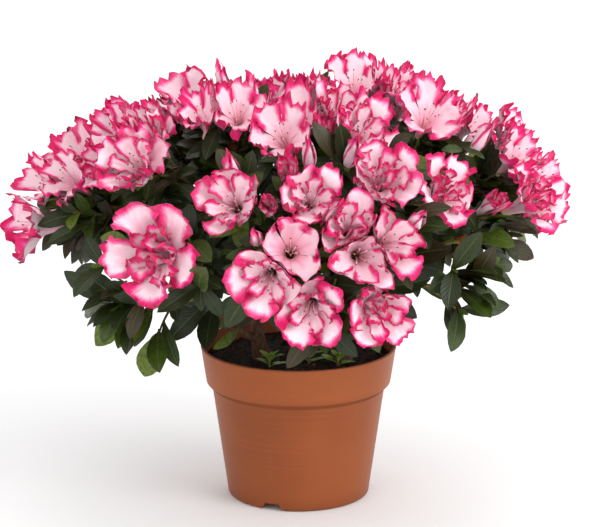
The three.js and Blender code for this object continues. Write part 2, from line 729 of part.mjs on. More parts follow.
// The tuft's leaves all stay below the masses above it.
function tuftSolid(limbs) {
  const foot = new THREE.Vector3(...tuft.foot, soil.level + clearance);
  const pieces = [twigSolid(foot, stepFrom(foot, up, tuft.height), tuft.radius, tuft.radius * 0.8, 4)];
  const ceiling = [{ normal: up, limit: tuft.ceiling }];
  for (let i = 0; i < tuft.leaves; i++) {
    const share = (i + 0.5) / tuft.leaves;
    const angle = i * goldenAngle * degree;
    const climb = mix(0.12, 0.45, share);
    const direction = new THREE.Vector3(Math.cos(angle), Math.sin(angle), climb).normalize();
    const root = stepFrom(foot, up, tuft.height * mix(0.4, 0.9, share));
    const each = shapeLeaf(root, direction, tuft.leafLength * mix(1, 0.75, share), up);
    const marks = [each.middle, each.left, each.right, each.tip];
    const tooHigh = marks.some((mark) => overhang(mark, ceiling) > 0);
    if (tooHigh || limbs.some((limb) => nearLimb(limb, marks))) continue;
    pieces.push(leafSolid(each));
  }
  return wasm.Manifold.union(pieces);
}

// ---------------------------------------------------------------- pot and soil

function latheSolid(profile) {
  const geometry = new THREE.LatheGeometry(profile.map(([r, z]) => new THREE.Vector2(r, z)), pot.segments);
  geometry.rotateX(Math.PI / 2);
  let solid = geometryToManifold(geometry);
  if (solid.volume() < 0) {
    geometry.index.array.reverse();
    solid = geometryToManifold(geometry);
  }
  return solid;
}

const bandFoot = pot.height - pot.bandHeight;
const bodyTop = bandFoot - pot.stepHeight;
const wallRadiusAt = (z) => mix(pot.footRadius, pot.bodyRadius, z / bodyTop) - pot.wall;
const bandRadiusAt = (z) =>
  mix(pot.bandFootRadius, pot.rimRadius, (z - bandFoot) / pot.bandHeight) - pot.wall;

function potSolid() {
  const ringLevel = bodyTop - pot.ringDrop;
  const ringRadius = wallRadiusAt(ringLevel) + pot.wall;
  const profile = [
    [0, 0],
    [pot.footRadius - pot.footRounding, 0],
    [pot.footRadius, pot.footRounding],
    [ringRadius - pot.ringDepth, ringLevel - 1],
    [ringRadius, ringLevel],
    [pot.bodyRadius, bodyTop],
    [pot.bandFootRadius, bandFoot],
    [pot.rimRadius, pot.height - pot.lip],
    [pot.rimRadius - pot.lip, pot.height],
    [pot.rimRadius - pot.wall, pot.height],
    [bandRadiusAt(bandFoot + 1), bandFoot + 1],
    [wallRadiusAt(bodyTop), bodyTop],
    [wallRadiusAt(pot.floor), pot.floor],
    [0, pot.floor],
  ];
  let solid = latheSolid(profile);
  const { count, width, topWidth, height, depth, bearing } = pot.notch;
  for (let i = 0; i < count; i++) {
    const outline = new THREE.Shape([
      new THREE.Vector2(-width / 2, -1), new THREE.Vector2(width / 2, -1),
      new THREE.Vector2(topWidth / 2, height), new THREE.Vector2(-topWidth / 2, height)]);
    const cutter = new THREE.ExtrudeGeometry(outline, { depth: 12, bevelEnabled: false });
    cutter.rotateX(Math.PI / 2);
    cutter.translate(0, depth - pot.footRadius, 0);
    cutter.rotateZ((bearing + (360 / count) * i) * degree);
    solid = solid.subtract(geometryToManifold(cutter));
  }
  return solid;
}

function soilSolid() {
  const edge = soil.level - soil.edgeDrop;
  const inset = clearance + 0.1;
  return latheSolid([
    [0, pot.floor + clearance],
    [wallRadiusAt(pot.floor) - inset, pot.floor + clearance],
    [wallRadiusAt(bodyTop) - inset, bodyTop],
    [bandRadiusAt(edge) - inset, edge],
    [bandRadiusAt(edge) - soil.edgeWidth, soil.level],
    [0, soil.level],
  ]);
}

// ---------------------------------------------------------------- assembly

const looks = {
  pot: { color: 0xa65f3c, roughness: 0.45 },
  soil: { color: 0x2b1c14, roughness: 0.95 },
  wood: { color: 0x4a2f22, roughness: 0.8 },
  blossom: { color: 0xe889a8, roughness: 0.6 },
  leaves: { color: 0x2f4a26, roughness: 0.5 },
};

const azalea = new THREE.Group();
azalea.name = 'azalea_in_pot';

function addPiece(name, solid, look) {
  const material = new THREE.MeshStandardMaterial({ ...looks[look], metalness: 0, side: THREE.FrontSide });
  const mesh = new THREE.Mesh(manifoldToGeometry(solid), material);
  mesh.name = name;
  azalea.add(mesh);
}

addPiece('pot', potSolid(), 'pot');
addPiece('soil', soilSolid(), 'soil');

const limbs = planStems().map((stem) => ({ ...stem, forks: [] }));
for (const stem of limbs) addPiece(stem.name, limbSolid(stem), 'wood');

const masses = listMasses();
const byDistance = [...masses].sort((a, b) => a.tip.distanceTo(crown.heart) - b.tip.distanceTo(crown.heart));
for (const mass of byDistance) {
  mass.bough = planBough(mass, limbs);
  limbs.push(mass.bough);
}

for (const mass of masses) {
  const { bough } = mass;
  addPiece(bough.name, largestBody(limbSolid(bough).subtract(limbSolid(bough.parent, clearance))), 'wood');
}

for (const mass of masses) {
  const planes = sectorPlanes(mass, masses);
  const shoots = planShoots(mass, planes, limbs);
  const leaves = planLeaves(mass, shoots, planes, limbs);
  const look = mass.shoots.startsWith('leafy') && mass.middle === 'leafy' ? 'leaves' : 'blossom';
  addPiece(`mass_${mass.name}`, massSolid(mass, shoots, leaves, planes), look);
}

addPiece('mass_young_leaves', tuftSolid(limbs), 'leaves');

export default azalea;
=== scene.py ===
import json
import math

import bpy
import numpy as np
from mathutils import Matrix, Vector

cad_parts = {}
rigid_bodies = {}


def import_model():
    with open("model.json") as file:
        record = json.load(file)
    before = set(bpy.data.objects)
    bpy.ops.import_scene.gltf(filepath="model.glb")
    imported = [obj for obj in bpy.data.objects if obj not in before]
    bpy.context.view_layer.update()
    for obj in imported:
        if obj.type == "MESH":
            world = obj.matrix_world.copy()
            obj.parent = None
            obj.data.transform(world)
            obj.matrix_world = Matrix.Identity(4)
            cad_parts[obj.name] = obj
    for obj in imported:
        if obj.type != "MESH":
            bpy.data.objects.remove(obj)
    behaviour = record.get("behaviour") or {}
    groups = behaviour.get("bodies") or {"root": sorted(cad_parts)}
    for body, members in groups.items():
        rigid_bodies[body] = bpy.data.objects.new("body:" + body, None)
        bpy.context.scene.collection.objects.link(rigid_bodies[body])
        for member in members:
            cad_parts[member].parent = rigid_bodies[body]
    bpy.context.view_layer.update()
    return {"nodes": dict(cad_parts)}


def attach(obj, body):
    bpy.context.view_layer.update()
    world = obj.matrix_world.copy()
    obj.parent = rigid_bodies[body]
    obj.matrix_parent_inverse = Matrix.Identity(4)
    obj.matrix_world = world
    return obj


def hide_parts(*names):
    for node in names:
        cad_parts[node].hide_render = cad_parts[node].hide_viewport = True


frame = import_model()

# first seed and stride of each kind of random draw
seeds = {
    "shoots": (7001, 97), "picks": (4242, 31), "blossom": (500, 14), "leaves": (50021, 131),
    "boughLeaves": (91000, 17), "leafKinds": (8080, 0), "leaf": (900, 7), "youngPlaces": (777, 0),
    "youngLeaf": (980, 7), "stamens": (300, 5), "sepal": (330, 1), "budScale": (360, 1), "peat": (60, 3),
}
clearance = 0.3
metre = 0.001
goldenAngle = 137.5
up = np.array([0.0, 0.0, 1.0])

potSizes = {
    "height": 102, "rimRadius": 65, "lip": 0.8, "wall": 1.5, "bandHeight": 24.8, "bandFootRadius": 61.2,
    "stepHeight": 3.4, "bodyRadius": 57.3, "ringDrop": 7.5, "ringDepth": 0.1, "footRadius": 46.7,
    "footRounding": 2.2, "floor": 5, "segments": 144, "bandLines": 9, "bandLineDepth": 0.14,
    "notch": {"count": 3, "width": 16.5, "topWidth": 9.5, "height": 4.7, "depth": 15, "bearing": -22},
}
soilSizes = {"level": 94, "edgeDrop": 1.5, "edgeWidth": 7}
crown = {
    "centre": np.array([0.0, 0, 182]), "reach": np.array([184.0, 166, 107]), "heart": np.array([0.0, 0, 146]),
    "siteScale": 0.95, "leafyScale": 0.84, "innerScale": 0.2, "outerScale": 1.13,
}
stems = [
    {"name": "stem_right", "foot": (28, -7), "top": (21, -12, 146), "radius": 5.2},
    {"name": "stem_left", "foot": (-24, -5), "top": (-26, -10, 142), "radius": 4.8},
    {"name": "stem_back", "foot": (4, 25), "top": (0, 24, 148), "radius": 5},
]
stemShape = {"flare": 1.65, "flareFade": 9, "taper": 0.66, "bow": 5}
boughShape = {
    "startShare": 0.74, "leastStart": 1.7, "mostStart": 3, "leaderShare": 0.94, "endRadius": 1.5,
    "turnCost": 1.7, "outward": 0.7, "upward": 0.15, "bendShare": 0.42, "leaderBendShare": 0.3,
    "forkRoom": 5, "air": 1.1, "forkShares": [0.2, 0.26, 0.32, 0.38, 0.44, 0.5, 0.56, 0.62, 0.68, 0.74, 0.8],
    "forkSpacing": 5, "leastLength": 16, "tipShare": 0.48, "hubShare": 0.72,
    "samples": 12, "closeSamples": 24,
}
blossom = {
    "size": 50, "length": 33, "baseRadius": 2, "throatHeight": 0.54, "tubeShare": 0.34, "least": 36,
    "crowding": 1.9, "frontGain": 1.1, "sizeRange": (0.9, 1.12), "turn": 72,
}
bud = {"length": 25, "radius": 5.6, "raised": 0.01}
opening = {"size": 19, "length": 34}
leafyShoot = {"size": 20, "length": 4}
twig = {"radius": 0.72, "room": 1, "forkStep": 0.11, "lastFork": 0.75}
shootShape = {
    "bloomScale": 0.99, "scaleSpread": 0.05, "fromHub": 0.75, "lean": 0.12, "budLean": 0.5, "wobble": 0.2,
    "toFront": 0.42, "nodDrop": 0.055,   # front blossoms nod to the front, the high ones sit lower
    "ringRange": (0.92, 1.08), "spotRoom": 0.3, "baseRoom": 3, "pullStep": 0.1, "leastPull": 0.3,
}

# name, bearing, lift, reach, ring, turn, middle, shoots, blossom size
massFields = ("name", "bearing", "lift", "reach", "ring", "turn", "middle", "shoots", "size")
frontMasses = [
    ("left", -85, 20, 1.02, 34, 95, "bloom", "bloom bloom leafy bloom leafy bloom", 50),
    ("upper_left", -66, 47, 1, 38, -28, "bud", "bloom bloom bloom bloom bloom", 50),
    ("big_left", -34, 9, 0.97, 42, 195, "bloom", "leafy leafy leafy", 64),
    ("top_left", -62, 68, 1.01, 31, -50, "bloom", "bloom bloom bud bud bloom bloom", 50),
    ("inner_left", -18, 37, 1, 19, 100, "", "bud bloom", 50),
    ("middle", -2, 35, 0.97, 19, 100, "", "opening opening bloom", 50),
    ("top_middle", 12, 63, 0.95, 31, -60, "opening", "bud bloom bloom bloom bloom bud", 50),
    ("top_right", 106, 70, 1.05, 28, 10, "bloom", "bloom bloom bloom bloom", 50),
    ("upper_right", 82, 54, 1.03, 30, 150, "bloom", "bloom bud bloom bloom bloom", 50),
    ("inner_right", 31, 35, 1, 27, -20, "", "bloom leafy bloom bud", 50),
    ("right", 87, 30, 1.03, 36, 160, "bloom", "bloom bloom leafy bloom bloom bloom", 50),
    ("low_right", 59, 13, 1, 25, 125, "", "opening leafy leafy bloom", 50),
    ("centre", -5, 13, 0.97, 18, 15, "", "bloom bud bloom", 50),
    ("centre_right", 15, 15, 0.97, 20, 10, "", "bloom bloom bloom", 50),
    ("front_low", 9, -11, 0.95, 30, -3, "", "bloom leafy bloom leafy", 50),
    ("leaves_left", -52, -20, 1, 36, 20, "leafy", "leafy leafy leafy leafy", 50),
    ("leaves_right", 50, -9, 0.97, 30, 30, "leafy", "leafy leafy leafy", 50),
]
frontNames = [row[0] for row in frontMasses]
# masses whose blossoms stand free: three whorls and full size; those of narrowMasses are the plainest
openMasses = ["big_left", "inner_left", "centre", "centre_right", "front_low", "inner_right", "low_right"]
narrowMasses = ["left", "right", "upper_right"]
# name, lift, reach, first bearing, step, count, ring, shoots
backRows = [
    ("back_low", 13, 1, 121, 41, 4, 33, "bloom leafy bloom bloom"),
    ("back_high", 41, 0.94, 130, 50, 3, 34, "bloom bloom bud bloom"),
    ("back_top", 70, 0.91, 188, 0, 1, 29, "bloom bloom bud bloom"),
    ("back_leaves", -17, 1, 145, 70, 2, 34, "leafy leafy leafy"),
]


# ---- node helpers: a Wire is a socket that can be used in sums, a Net adds nodes to a tree

def color(*levels):
    # from levels of 0 to 255 to linear light
    shares = [level / 255 for level in levels]
    return (*[s / 12.92 if s <= 0.04045 else ((s + 0.055) / 1.055) ** 2.4 for s in shares], 1)


class Wire:
    def __init__(self, net, socket):
        self.net, self.socket = net, socket

    def math(self, operation, *others):
        return self.net.math(operation, self, *others)

    def __add__(self, other):
        return self.math("ADD", other)

    def __mul__(self, other):
        return self.math("MULTIPLY", other)

    def __sub__(self, other):
        return self.math("SUBTRACT", other)

    def __rsub__(self, other):
        return self.net.math("SUBTRACT", other, self)

    def __truediv__(self, other):
        return self.math("DIVIDE", other)

    __radd__, __rmul__ = __add__, __mul__


class Net:
    def __init__(self, tree):
        self.tree = tree

    def node(self, kind, settings=None, inputs=None, output=0):
        node = self.tree.nodes.new(kind)
        for name, value in (settings or {}).items():
            if name == "stops":
                ramp = node.color_ramp
                while len(ramp.elements) < len(value):
                    ramp.elements.new(0.5)
                for element, (place, *levels) in zip(ramp.elements, value):
                    element.position, element.color = place, color(*levels)
            elif name == "interpolation":
                node.color_ramp.interpolation = value
            else:
                setattr(node, name, value)
        for name, value in (inputs or {}).items():
            if isinstance(value, Wire):
                self.tree.links.new(value.socket, node.inputs[name])
            else:
                node.inputs[name].default_value = value
        return Wire(self, node.outputs[output])

    def math(self, operation, *values):
        return self.node("ShaderNodeMath", {"operation": operation}, dict(enumerate(values)))

    def vector(self, operation, inputs, output=0):
        return self.node("ShaderNodeVectorMath", {"operation": operation}, inputs, output)

    def smooth(self, value, low, high):
        return self.node("ShaderNodeMapRange", {"interpolation_type": "SMOOTHSTEP"},
                         {"Value": value, "From Min": low, "From Max": high})

    def blend(self, share, a, b):
        return self.node("ShaderNodeMix", {"data_type": "RGBA"}, {0: share, 6: a, 7: b}, 2)

    def ramp(self, share, stops, interpolation="LINEAR"):
        return self.node("ShaderNodeValToRGB", {"interpolation": interpolation, "stops": stops},
                         {"Fac": share})

    def noise(self, vector, scale, detail=2.0, roughness=0.5):
        return self.node("ShaderNodeTexNoise", None,
                         {"Vector": vector, "Scale": scale, "Detail": detail, "Roughness": roughness})

    def combine(self, *parts):
        return self.node("ShaderNodeCombineXYZ", None, dict(enumerate(parts)))

    def part(self, vector, index):
        return self.node("ShaderNodeSeparateXYZ", None, {0: vector}, index)

    def objectPlace(self):
        return self.node("ShaderNodeTexCoord", None, None, 3)

    def named(self, name, kind="FLOAT"):
        return self.node("GeometryNodeInputNamedAttribute", {"data_type": kind}, {"Name": name})

    def feed(self, label, wire):
        self.tree.links.new(wire.socket, self.tree.nodes["Principled BSDF"].inputs[label])

    def relief(self, height, strength, distance):
        self.feed("Normal", self.node("ShaderNodeBump", None,
                                      {"Height": height, "Strength": strength, "Distance": distance}))


def newMaterial(name, settings):
    material = bpy.data.materials.new(name)
    material.use_nodes = True
    for label, value in settings.items():
        material.node_tree.nodes["Principled BSDF"].inputs[label].default_value = value
    return material, Net(material.node_tree)


def plainMaterial(name, low, high, scale, roughness):
    material, net = newMaterial(name, {"Specular IOR Level": 0.3})
    grain = net.noise(net.objectPlace(), scale, 3)
    net.feed("Base Color", net.blend(net.smooth(grain, 0.35, 0.65), color(*low), color(*high)))
    net.feed("Roughness", grain * 0.2 + roughness)
    return material


def grainMaterial(name, look):
    # colours by the first noise, a shade laid over them by the second, then roughness and relief
    material, net = newMaterial(name, {"Specular IOR Level": look["specular"]})
    place = net.objectPlace()
    noises = [net.noise(net.vector("MULTIPLY", {0: place, 1: (1, 1, drawn)}), scale, detail, roughness)
              for drawn, scale, detail, roughness in look["noises"]]
    base = net.ramp(noises[0], look["stops"])
    if "over" in look:
        low, high, share, levels = look["over"]
        base = net.blend(net.smooth(noises[1], low, high) * share, base, color(*levels))
    net.feed("Base Color", base)
    which, spread, least = look["roughness"]
    net.feed("Roughness", noises[which] * spread + least)
    if "relief" in look:
        secondShare, strength, distance = look["relief"]
        net.relief(noises[0] + noises[1] * secondShare, strength, distance)
    return material


def patternCell(net, cells, margin):
    # place across (-1 to 1) and along (0 to 1) the cell of a face's variety, and the number of the cell
    place = net.node("ShaderNodeUVMap", {"uv_map": "OFBake"})
    x, y = (net.part(place, i) * cells for i in (0, 1))
    column, row = x.math("FLOOR"), y.math("FLOOR")
    shrink = 1 / (1 - 2 * margin)
    return (x - column - 0.5) * (2 * shrink), (y - row - 0.5) * shrink + 0.5, column + row * cells


# ---- geometry node helpers

def newGrowth(name, inputs):
    group = bpy.data.node_groups.new(name, "GeometryNodeTree")
    for label, kind in {"Geometry": "Geometry", **inputs}.items():
        group.interface.new_socket(label, in_out="INPUT", socket_type="NodeSocket" + kind)
    group.interface.new_socket("Geometry", in_out="OUTPUT", socket_type="NodeSocketGeometry")
    source = group.nodes.new("NodeGroupInput")
    net = Net(group)
    return net, {label: Wire(net, source.outputs[label]) for label in ["Geometry", *inputs]}


def endGrowth(net, geometry, material):
    real = net.node("GeometryNodeRealizeInstances", None, {"Geometry": geometry})
    dressed = net.node("GeometryNodeSetMaterial", None, {"Geometry": real, "Material": material})
    sink = net.tree.nodes.new("NodeGroupOutput")
    net.tree.links.new(dressed.socket, sink.inputs["Geometry"])
    return net


def grow(name, start, net, values):
    # the tree's result on the start object, as a plain object of its own
    modifier = start.modifiers.new("grow", "NODES")
    modifier.node_group = net.tree
    for item in net.tree.interface.items_tree:
        if item.in_out == "INPUT" and item.name in values:
            modifier[item.identifier] = values[item.name]
    depsgraph = bpy.context.evaluated_depsgraph_get()
    mesh = bpy.data.meshes.new_from_object(
        start.evaluated_get(depsgraph), preserve_all_data_layers=True, depsgraph=depsgraph)
    start.modifiers.remove(modifier)
    bpy.data.objects.remove(start)
    mesh.name = name
    return addObject(name, mesh)


def addObject(name, mesh):
    thing = bpy.data.objects.new(name, mesh)
    bpy.context.scene.collection.objects.link(thing)
    return thing


def meshFrom(name, points, faces, edges=()):
    mesh = bpy.data.meshes.new(name)
    mesh.from_pydata([tuple(map(float, point)) for point in points], list(edges), list(faces))
    return mesh


def smoothShade(mesh):
    mesh.polygons.foreach_set("use_smooth", [True] * len(mesh.polygons))


def putAttribute(mesh, name, kind, values):
    attribute = mesh.attributes.new(name, kind, "POINT")
    values = np.asarray(values, dtype=np.float32 if "FLOAT" in kind else np.int32)
    attribute.data.foreach_set("vector" if kind == "FLOAT_VECTOR" else "value", values.ravel())


def readNumbers(mesh, name):
    values = np.zeros(len(mesh.vertices), dtype=int)
    mesh.attributes[name].data.foreach_get("value", values)
    return values


def cornersOf(mesh):
    corners = np.zeros(len(mesh.loops), dtype=int)
    mesh.loops.foreach_get("vertex_index", corners)
    return corners


def putPattern(mesh, places):
    # the place of each vertex on the pattern
    layer = mesh.uv_layers.new(name="OFBake")
    layer.data.foreach_set("uv", np.array(places, dtype=np.float32)[cornersOf(mesh)].ravel())


def gridFaces(rows, columns, base=0, closed=False):
    # quads between rows of points; a closed grid runs on from its last column to its first
    faces = []
    for row in range(rows - 1):
        for column in range(columns if closed else columns - 1):
            a, b = base + row * columns + column, base + row * columns + (column + 1) % columns
            faces.append((a, b, b + columns, a + columns))
    return faces


def tubeFaces(rings, sides):
    last = (rings - 1) * sides
    caps = [tuple(range(sides))[::-1], tuple(range(last, last + sides))]
    return gridFaces(rings, sides, closed=True) + caps


def ringPoints(radius, height, count):
    # a ring round the pot's axis, its height one number or a function of the angle
    points = []
    for i in range(count):
        angle = 2 * math.pi * i / count
        z = height(angle) if callable(height) else height
        points.append((radius * math.cos(angle) * metre, radius * math.sin(angle) * metre, z * metre))
    return points


def latheMesh(name, rings, ends, downward=False):
    # rings from one end to the other, closed by a point at the height of each end
    count, last = len(rings[0]), (len(rings) - 1) * len(rings[0])
    points = [point for ring in rings for point in ring] + [(0, 0, end) for end in ends]
    faces = gridFaces(len(rings), count, closed=True)
    for i in range(count):
        n = (i + 1) % count
        faces += [(last + count, n, i), (last + count + 1, last + i, last + n)]
    if downward:
        faces = [(face[0], *face[:0:-1]) for face in faces]
    return meshFrom(name, points, faces)


# ---- small maths

def makeRandom(seed):
    state = [seed]

    def draw():
        state[0] = (state[0] * 1664525 + 1013904223) % 2 ** 32
        return state[0] / 2 ** 32
    return draw


def seedOf(kind, index=0):
    first, stride = seeds[kind]
    return first + stride * index


def varietiesOf(maker, kind, count, *shape):
    return [maker(seedOf(kind, i), *shape) for i in range(count)]


def mix(a, b, share):
    return a + (b - a) * share


def unit(vector):
    return vector / np.linalg.norm(vector)


def length(vector):
    return float(np.linalg.norm(vector))


def clamp(value, low, high):
    return max(low, min(high, value))


def step(low, high, value):
    share = clamp((value - low) / (high - low), 0, 1)
    return share * share * (3 - 2 * share)


def around(angle):
    return np.array([math.cos(angle), math.sin(angle), 0])


def squareTo(axis):
    guide = np.array([0.0, 1, 0]) if abs(axis[2]) > 0.98 else up
    side = unit(np.cross(guide, axis))
    return side, np.cross(axis, side)


def spoke(sides, angle):
    return sides[0] * math.cos(angle) + sides[1] * math.sin(angle)


def frameOf(start, end):
    # a line's direction and length, and the two directions square to it
    axis, reach = unit(end - start), length(end - start)
    return axis, reach, squareTo(axis)


def squared(vector, axis):
    # the part of a vector that is square to an axis, as a direction
    return unit(vector - axis * float(vector @ axis))


def turnFrom(across, along, forward):
    # the Euler turn that takes X, Y, Z to the three given directions
    return Matrix((across, along, forward)).transposed().to_euler()


def crownPoint(bearing, lift, scale):
    b, l = math.radians(bearing), math.radians(lift)
    direction = np.array([math.sin(b) * math.cos(l), -math.cos(b) * math.cos(l), math.sin(l)])
    return direction * crown["reach"] * scale + crown["centre"]


def crownScaleAt(point):
    return length((point - crown["centre"]) / crown["reach"])


def crownNormalAt(point):
    return unit((point - crown["centre"]) / crown["reach"] / crown["reach"])


def slideToScale(point, scale):
    return crown["centre"] + (point - crown["centre"]) * (scale / crownScaleAt(point))


# ---- limbs

def curvePoint(limb, share):
    a = mix(limb["start"], limb["bend"], share)
    b = mix(limb["bend"], limb["end"], share)
    return mix(a, b, share), unit(b - a)


def limbRadius(limb, share):
    flare = (stemShape["flare"] - 1) * math.exp(-share * stemShape["flareFade"]) if limb["isStem"] else 0
    return mix(limb["startRadius"], limb["endRadius"], share) * (1 + flare)


def sampleLimb(limb, count):
    shares = [i / count for i in range(count + 1)]
    return (np.array([curvePoint(limb, share)[0] for share in shares]),
            np.array([limbRadius(limb, share) for share in shares]))


def gapsTo(limb, points, samples="fine"):
    places, radii = limb[samples]
    return np.linalg.norm(points[:, None] - places[None], axis=2) - radii[None]


def planStems():
    limbs = []
    for stem in stems:
        start = np.array([*stem["foot"], soilSizes["level"] + clearance], dtype=float)
        end = np.array(stem["top"], dtype=float)
        outward = unit(start * np.array([1, 1, 0]))
        limb = {"name": stem["name"], "start": start, "end": end, "isStem": True, "leader": None, "forks": [],
                "bend": mix(start, end, 0.5) + outward * stemShape["bow"], "parent": None,
                "startRadius": stem["radius"], "endRadius": stem["radius"] * stemShape["taper"]}
        limb["samples"] = sampleLimb(limb, boughShape["samples"])
        limbs.append(limb)
    return limbs


def limbsTouch(limb, other, skipNear):
    points, radii = limb["samples"]
    gaps = gapsTo(other, points, "samples") - radii[:, None]
    if skipNear:
        gaps = gaps[np.linalg.norm(points - limb["start"], axis=1) >= skipNear]
    return bool((gaps < boughShape["air"]).any())


def planBough(mass, limbs):
    choices = []
    for parent in limbs:
        shares = list(boughShape["forkShares"])
        if parent["isStem"] and not parent["leader"]:
            shares.append(1)
        for share in shares:
            point, tangent = curvePoint(parent, share)
            reach = mass["tip"] - point
            distance = length(reach)
            if distance < boughShape["leastLength"]:
                continue
            reach = reach / distance
            cost = distance * (boughShape["turnCost"] - float(reach @ tangent))
            choices.append((cost, len(choices), parent, share, point, tangent, reach, distance))
    choices.sort(key=lambda choice: choice[:2])
    for _, _, parent, share, point, tangent, reach, distance in choices:
        span = length(parent["end"] - parent["start"])
        if any(abs(fork - share) * span < boughShape["forkSpacing"] for fork in parent["forks"]):
            continue
        leads = share == 1
        if leads:
            start, leave, bendShare = point + tangent * clearance, tangent, boughShape["leaderBendShare"]
            startRadius = parent["endRadius"] * boughShape["leaderShare"]
        else:
            start, bendShare = point, boughShape["bendShare"]
            leave = reach + squared(reach, tangent) * boughShape["outward"] + up * boughShape["upward"]
            startRadius = clamp(limbRadius(parent, share) * boughShape["startShare"],
                                boughShape["leastStart"], boughShape["mostStart"])
        bough = {"name": "bough_" + mass["name"], "parent": parent, "start": start, "end": mass["tip"],
                 "bend": start + unit(leave) * distance * bendShare, "startRadius": startRadius,
                 "endRadius": boughShape["endRadius"], "isStem": False, "forks": []}
        bough["samples"] = sampleLimb(bough, boughShape["samples"])
        forkRoom = limbRadius(parent, share) + startRadius + boughShape["forkRoom"]
        if any(limbsTouch(bough, other, forkRoom if other is parent or other["parent"] is parent else 0)
               for other in limbs):
            continue
        if leads:
            parent["leader"] = bough
        parent["forks"].append(share)
        return bough
    raise RuntimeError("no way to " + mass["name"])


# ---- masses

def listMasses():
    rows = [dict(zip(massFields, each)) for each in frontMasses]
    for name, lift, reach, first, stride, count, ring, shoots in backRows:
        rows += [dict(zip(massFields, (f"{name}_{i + 1}", first + i * stride, lift, reach, ring, 40 + i * 77,
                                       shoots.split()[0], shoots, blossom["size"]))) for i in range(count)]
    for index, mass in enumerate(rows):
        mass["index"] = index
        mass["site"] = crownPoint(mass["bearing"], mass["lift"], crown["siteScale"] * mass["reach"])
        mass["tip"] = mix(crown["heart"], mass["site"], boughShape["tipShare"])
        mass["hub"] = mix(crown["heart"], mass["site"], boughShape["hubShare"])
        mass["random"] = makeRandom(seedOf("shoots", index))
    return rows


def borderPlane(place, other, share, air):
    # the plane between two places, as its normal and how far along it lies
    normal = other - place
    distance = length(normal)
    normal = normal / distance
    return normal, float(normal @ place) + distance * share - air


def sectorPlanes(mass, masses):
    planes = [borderPlane(mass["site"], other["site"], 0.5, clearance)
              for other in masses if other is not mass]
    return tuple(np.array(each) for each in zip(*planes))


def wallsOf(shoot, shoots, planes):
    # a mass's planes and those between a shoot and its neighbours
    walls = list(zip(*planes))
    for other in shoots:
        if other is not shoot and other["kind"] != "leafy":
            share = clamp(shoot["size"] / (shoot["size"] + other["size"]), 0.3, 0.7)
            walls.append(borderPlane(shoot["spot"], other["spot"], share, clearance / 2))
    return walls


def overhang(point, planes):
    return float((planes[0] @ point - planes[1]).max())


def twigTouchesLimb(start, end, limbs):
    points = start + (end - start) * np.linspace(0, 1, 9)[:, None]
    return any((gapsTo(limb, points) < twig["radius"] + twig["room"]).any() for limb in limbs)


def planShoots(mass, planes, limbs):
    side, rise = squareTo(crownNormalAt(mass["site"]))
    kinds, random, shoots = mass["shoots"].split(), mass["random"], []

    def add(kind, offset, wobble):
        scale = mass["reach"] * (crown["leafyScale"] if kind == "leafy" else
                                 shootShape["bloomScale"] + shootShape["scaleSpread"] * (random() - 0.5))
        bloomSize = mass["size"] * mix(*blossom["sizeRange"], random())
        size, span = {
            "bloom": (bloomSize, blossom["length"] * (0.55 + 0.45 * bloomSize / blossom["size"])),
            "opening": (opening["size"], opening["length"]), "bud": (bud["radius"] * 2, bud["length"]),
            "leafy": (leafyShoot["size"], leafyShoot["length"])}[kind]
        roll = random() * blossom["turn"]
        if kind == "bud":
            scale += bud["raised"]
        elif kind != "leafy":
            scale -= shootShape["nodDrop"] * (0.45 + 0.55 * max(0, unit(mass["site"] - crown["centre"])[2]))
        share = 1
        while share > shootShape["leastPull"]:
            spot = slideToScale(mass["site"] + offset * share, scale)
            lean = shootShape["budLean"] if kind == "bud" else shootShape["lean"] + wobble
            facing = unit(unit(spot - mass["hub"]) * shootShape["fromHub"] + crownNormalAt(spot) + up * lean)
            if mass["name"] in frontNames and kind != "bud":
                facing = unit(facing + np.array([0, -shootShape["toFront"] * (0.3 + abs(facing[2])), 0]))
            base = spot - facing * span
            fork = mix(mass["hub"], mass["tip"], min(twig["lastFork"], twig["forkStep"] * len(shoots)))
            if overhang(spot, planes) <= -size * shootShape["spotRoom"] \
                    and overhang(base, planes) <= -shootShape["baseRoom"] \
                    and not twigTouchesLimb(fork, base, limbs):
                shoots.append({"kind": kind, "spot": spot, "facing": facing, "size": size, "length": span,
                               "fork": fork, "base": base, "roll": roll})
                return
            share -= shootShape["pullStep"]

    if mass["middle"]:
        add(mass["middle"], np.zeros(3), 0)
    for i, kind in enumerate(kinds):
        angle = math.radians(mass["turn"] + 360 * i / len(kinds))
        ring = mass["ring"] * mix(*shootShape["ringRange"], random())
        offset = side * math.cos(angle) * ring + rise * math.sin(angle) * ring
        add(kind, offset, shootShape["wobble"] * (random() - 0.5))
    return shoots


def floweringOf(owners):
    return [shoot for mass in owners for shoot in mass["allShoots"] if shoot["kind"] != "leafy"]


limbs = planStems()
masses = listMasses()
for mass in sorted(masses, key=lambda m: length(m["tip"] - crown["heart"])):
    mass["bough"] = planBough(mass, limbs)
    limbs.append(mass["bough"])
for limb in limbs:
    limb["fine"] = sampleLimb(limb, boughShape["closeSamples"])
for mass in masses:
    mass["planes"] = sectorPlanes(mass, masses)
    mass["allShoots"] = planShoots(mass, mass["planes"], limbs)
blooms = floweringOf(masses)
for mass in masses:
    for shoot in mass["allShoots"]:
        if shoot["kind"] == "bloom" and mass["name"] in openMasses[1:]:
            shoot["size"] *= blossom["frontGain"]
        elif shoot["kind"] == "bloom" and mass["name"] not in openMasses:
            # a crowded blossom stays smaller
            nearest = min(length(other["spot"] - shoot["spot"]) for other in blooms if other is not shoot)
            shoot["size"] = max(blossom["least"], min(shoot["size"], nearest * blossom["crowding"]))
print("planned", len(limbs), "limbs,", len(masses), "masses,", len(blooms), "blossoms and buds")


# ---- planting: varieties of a small mesh set out on points

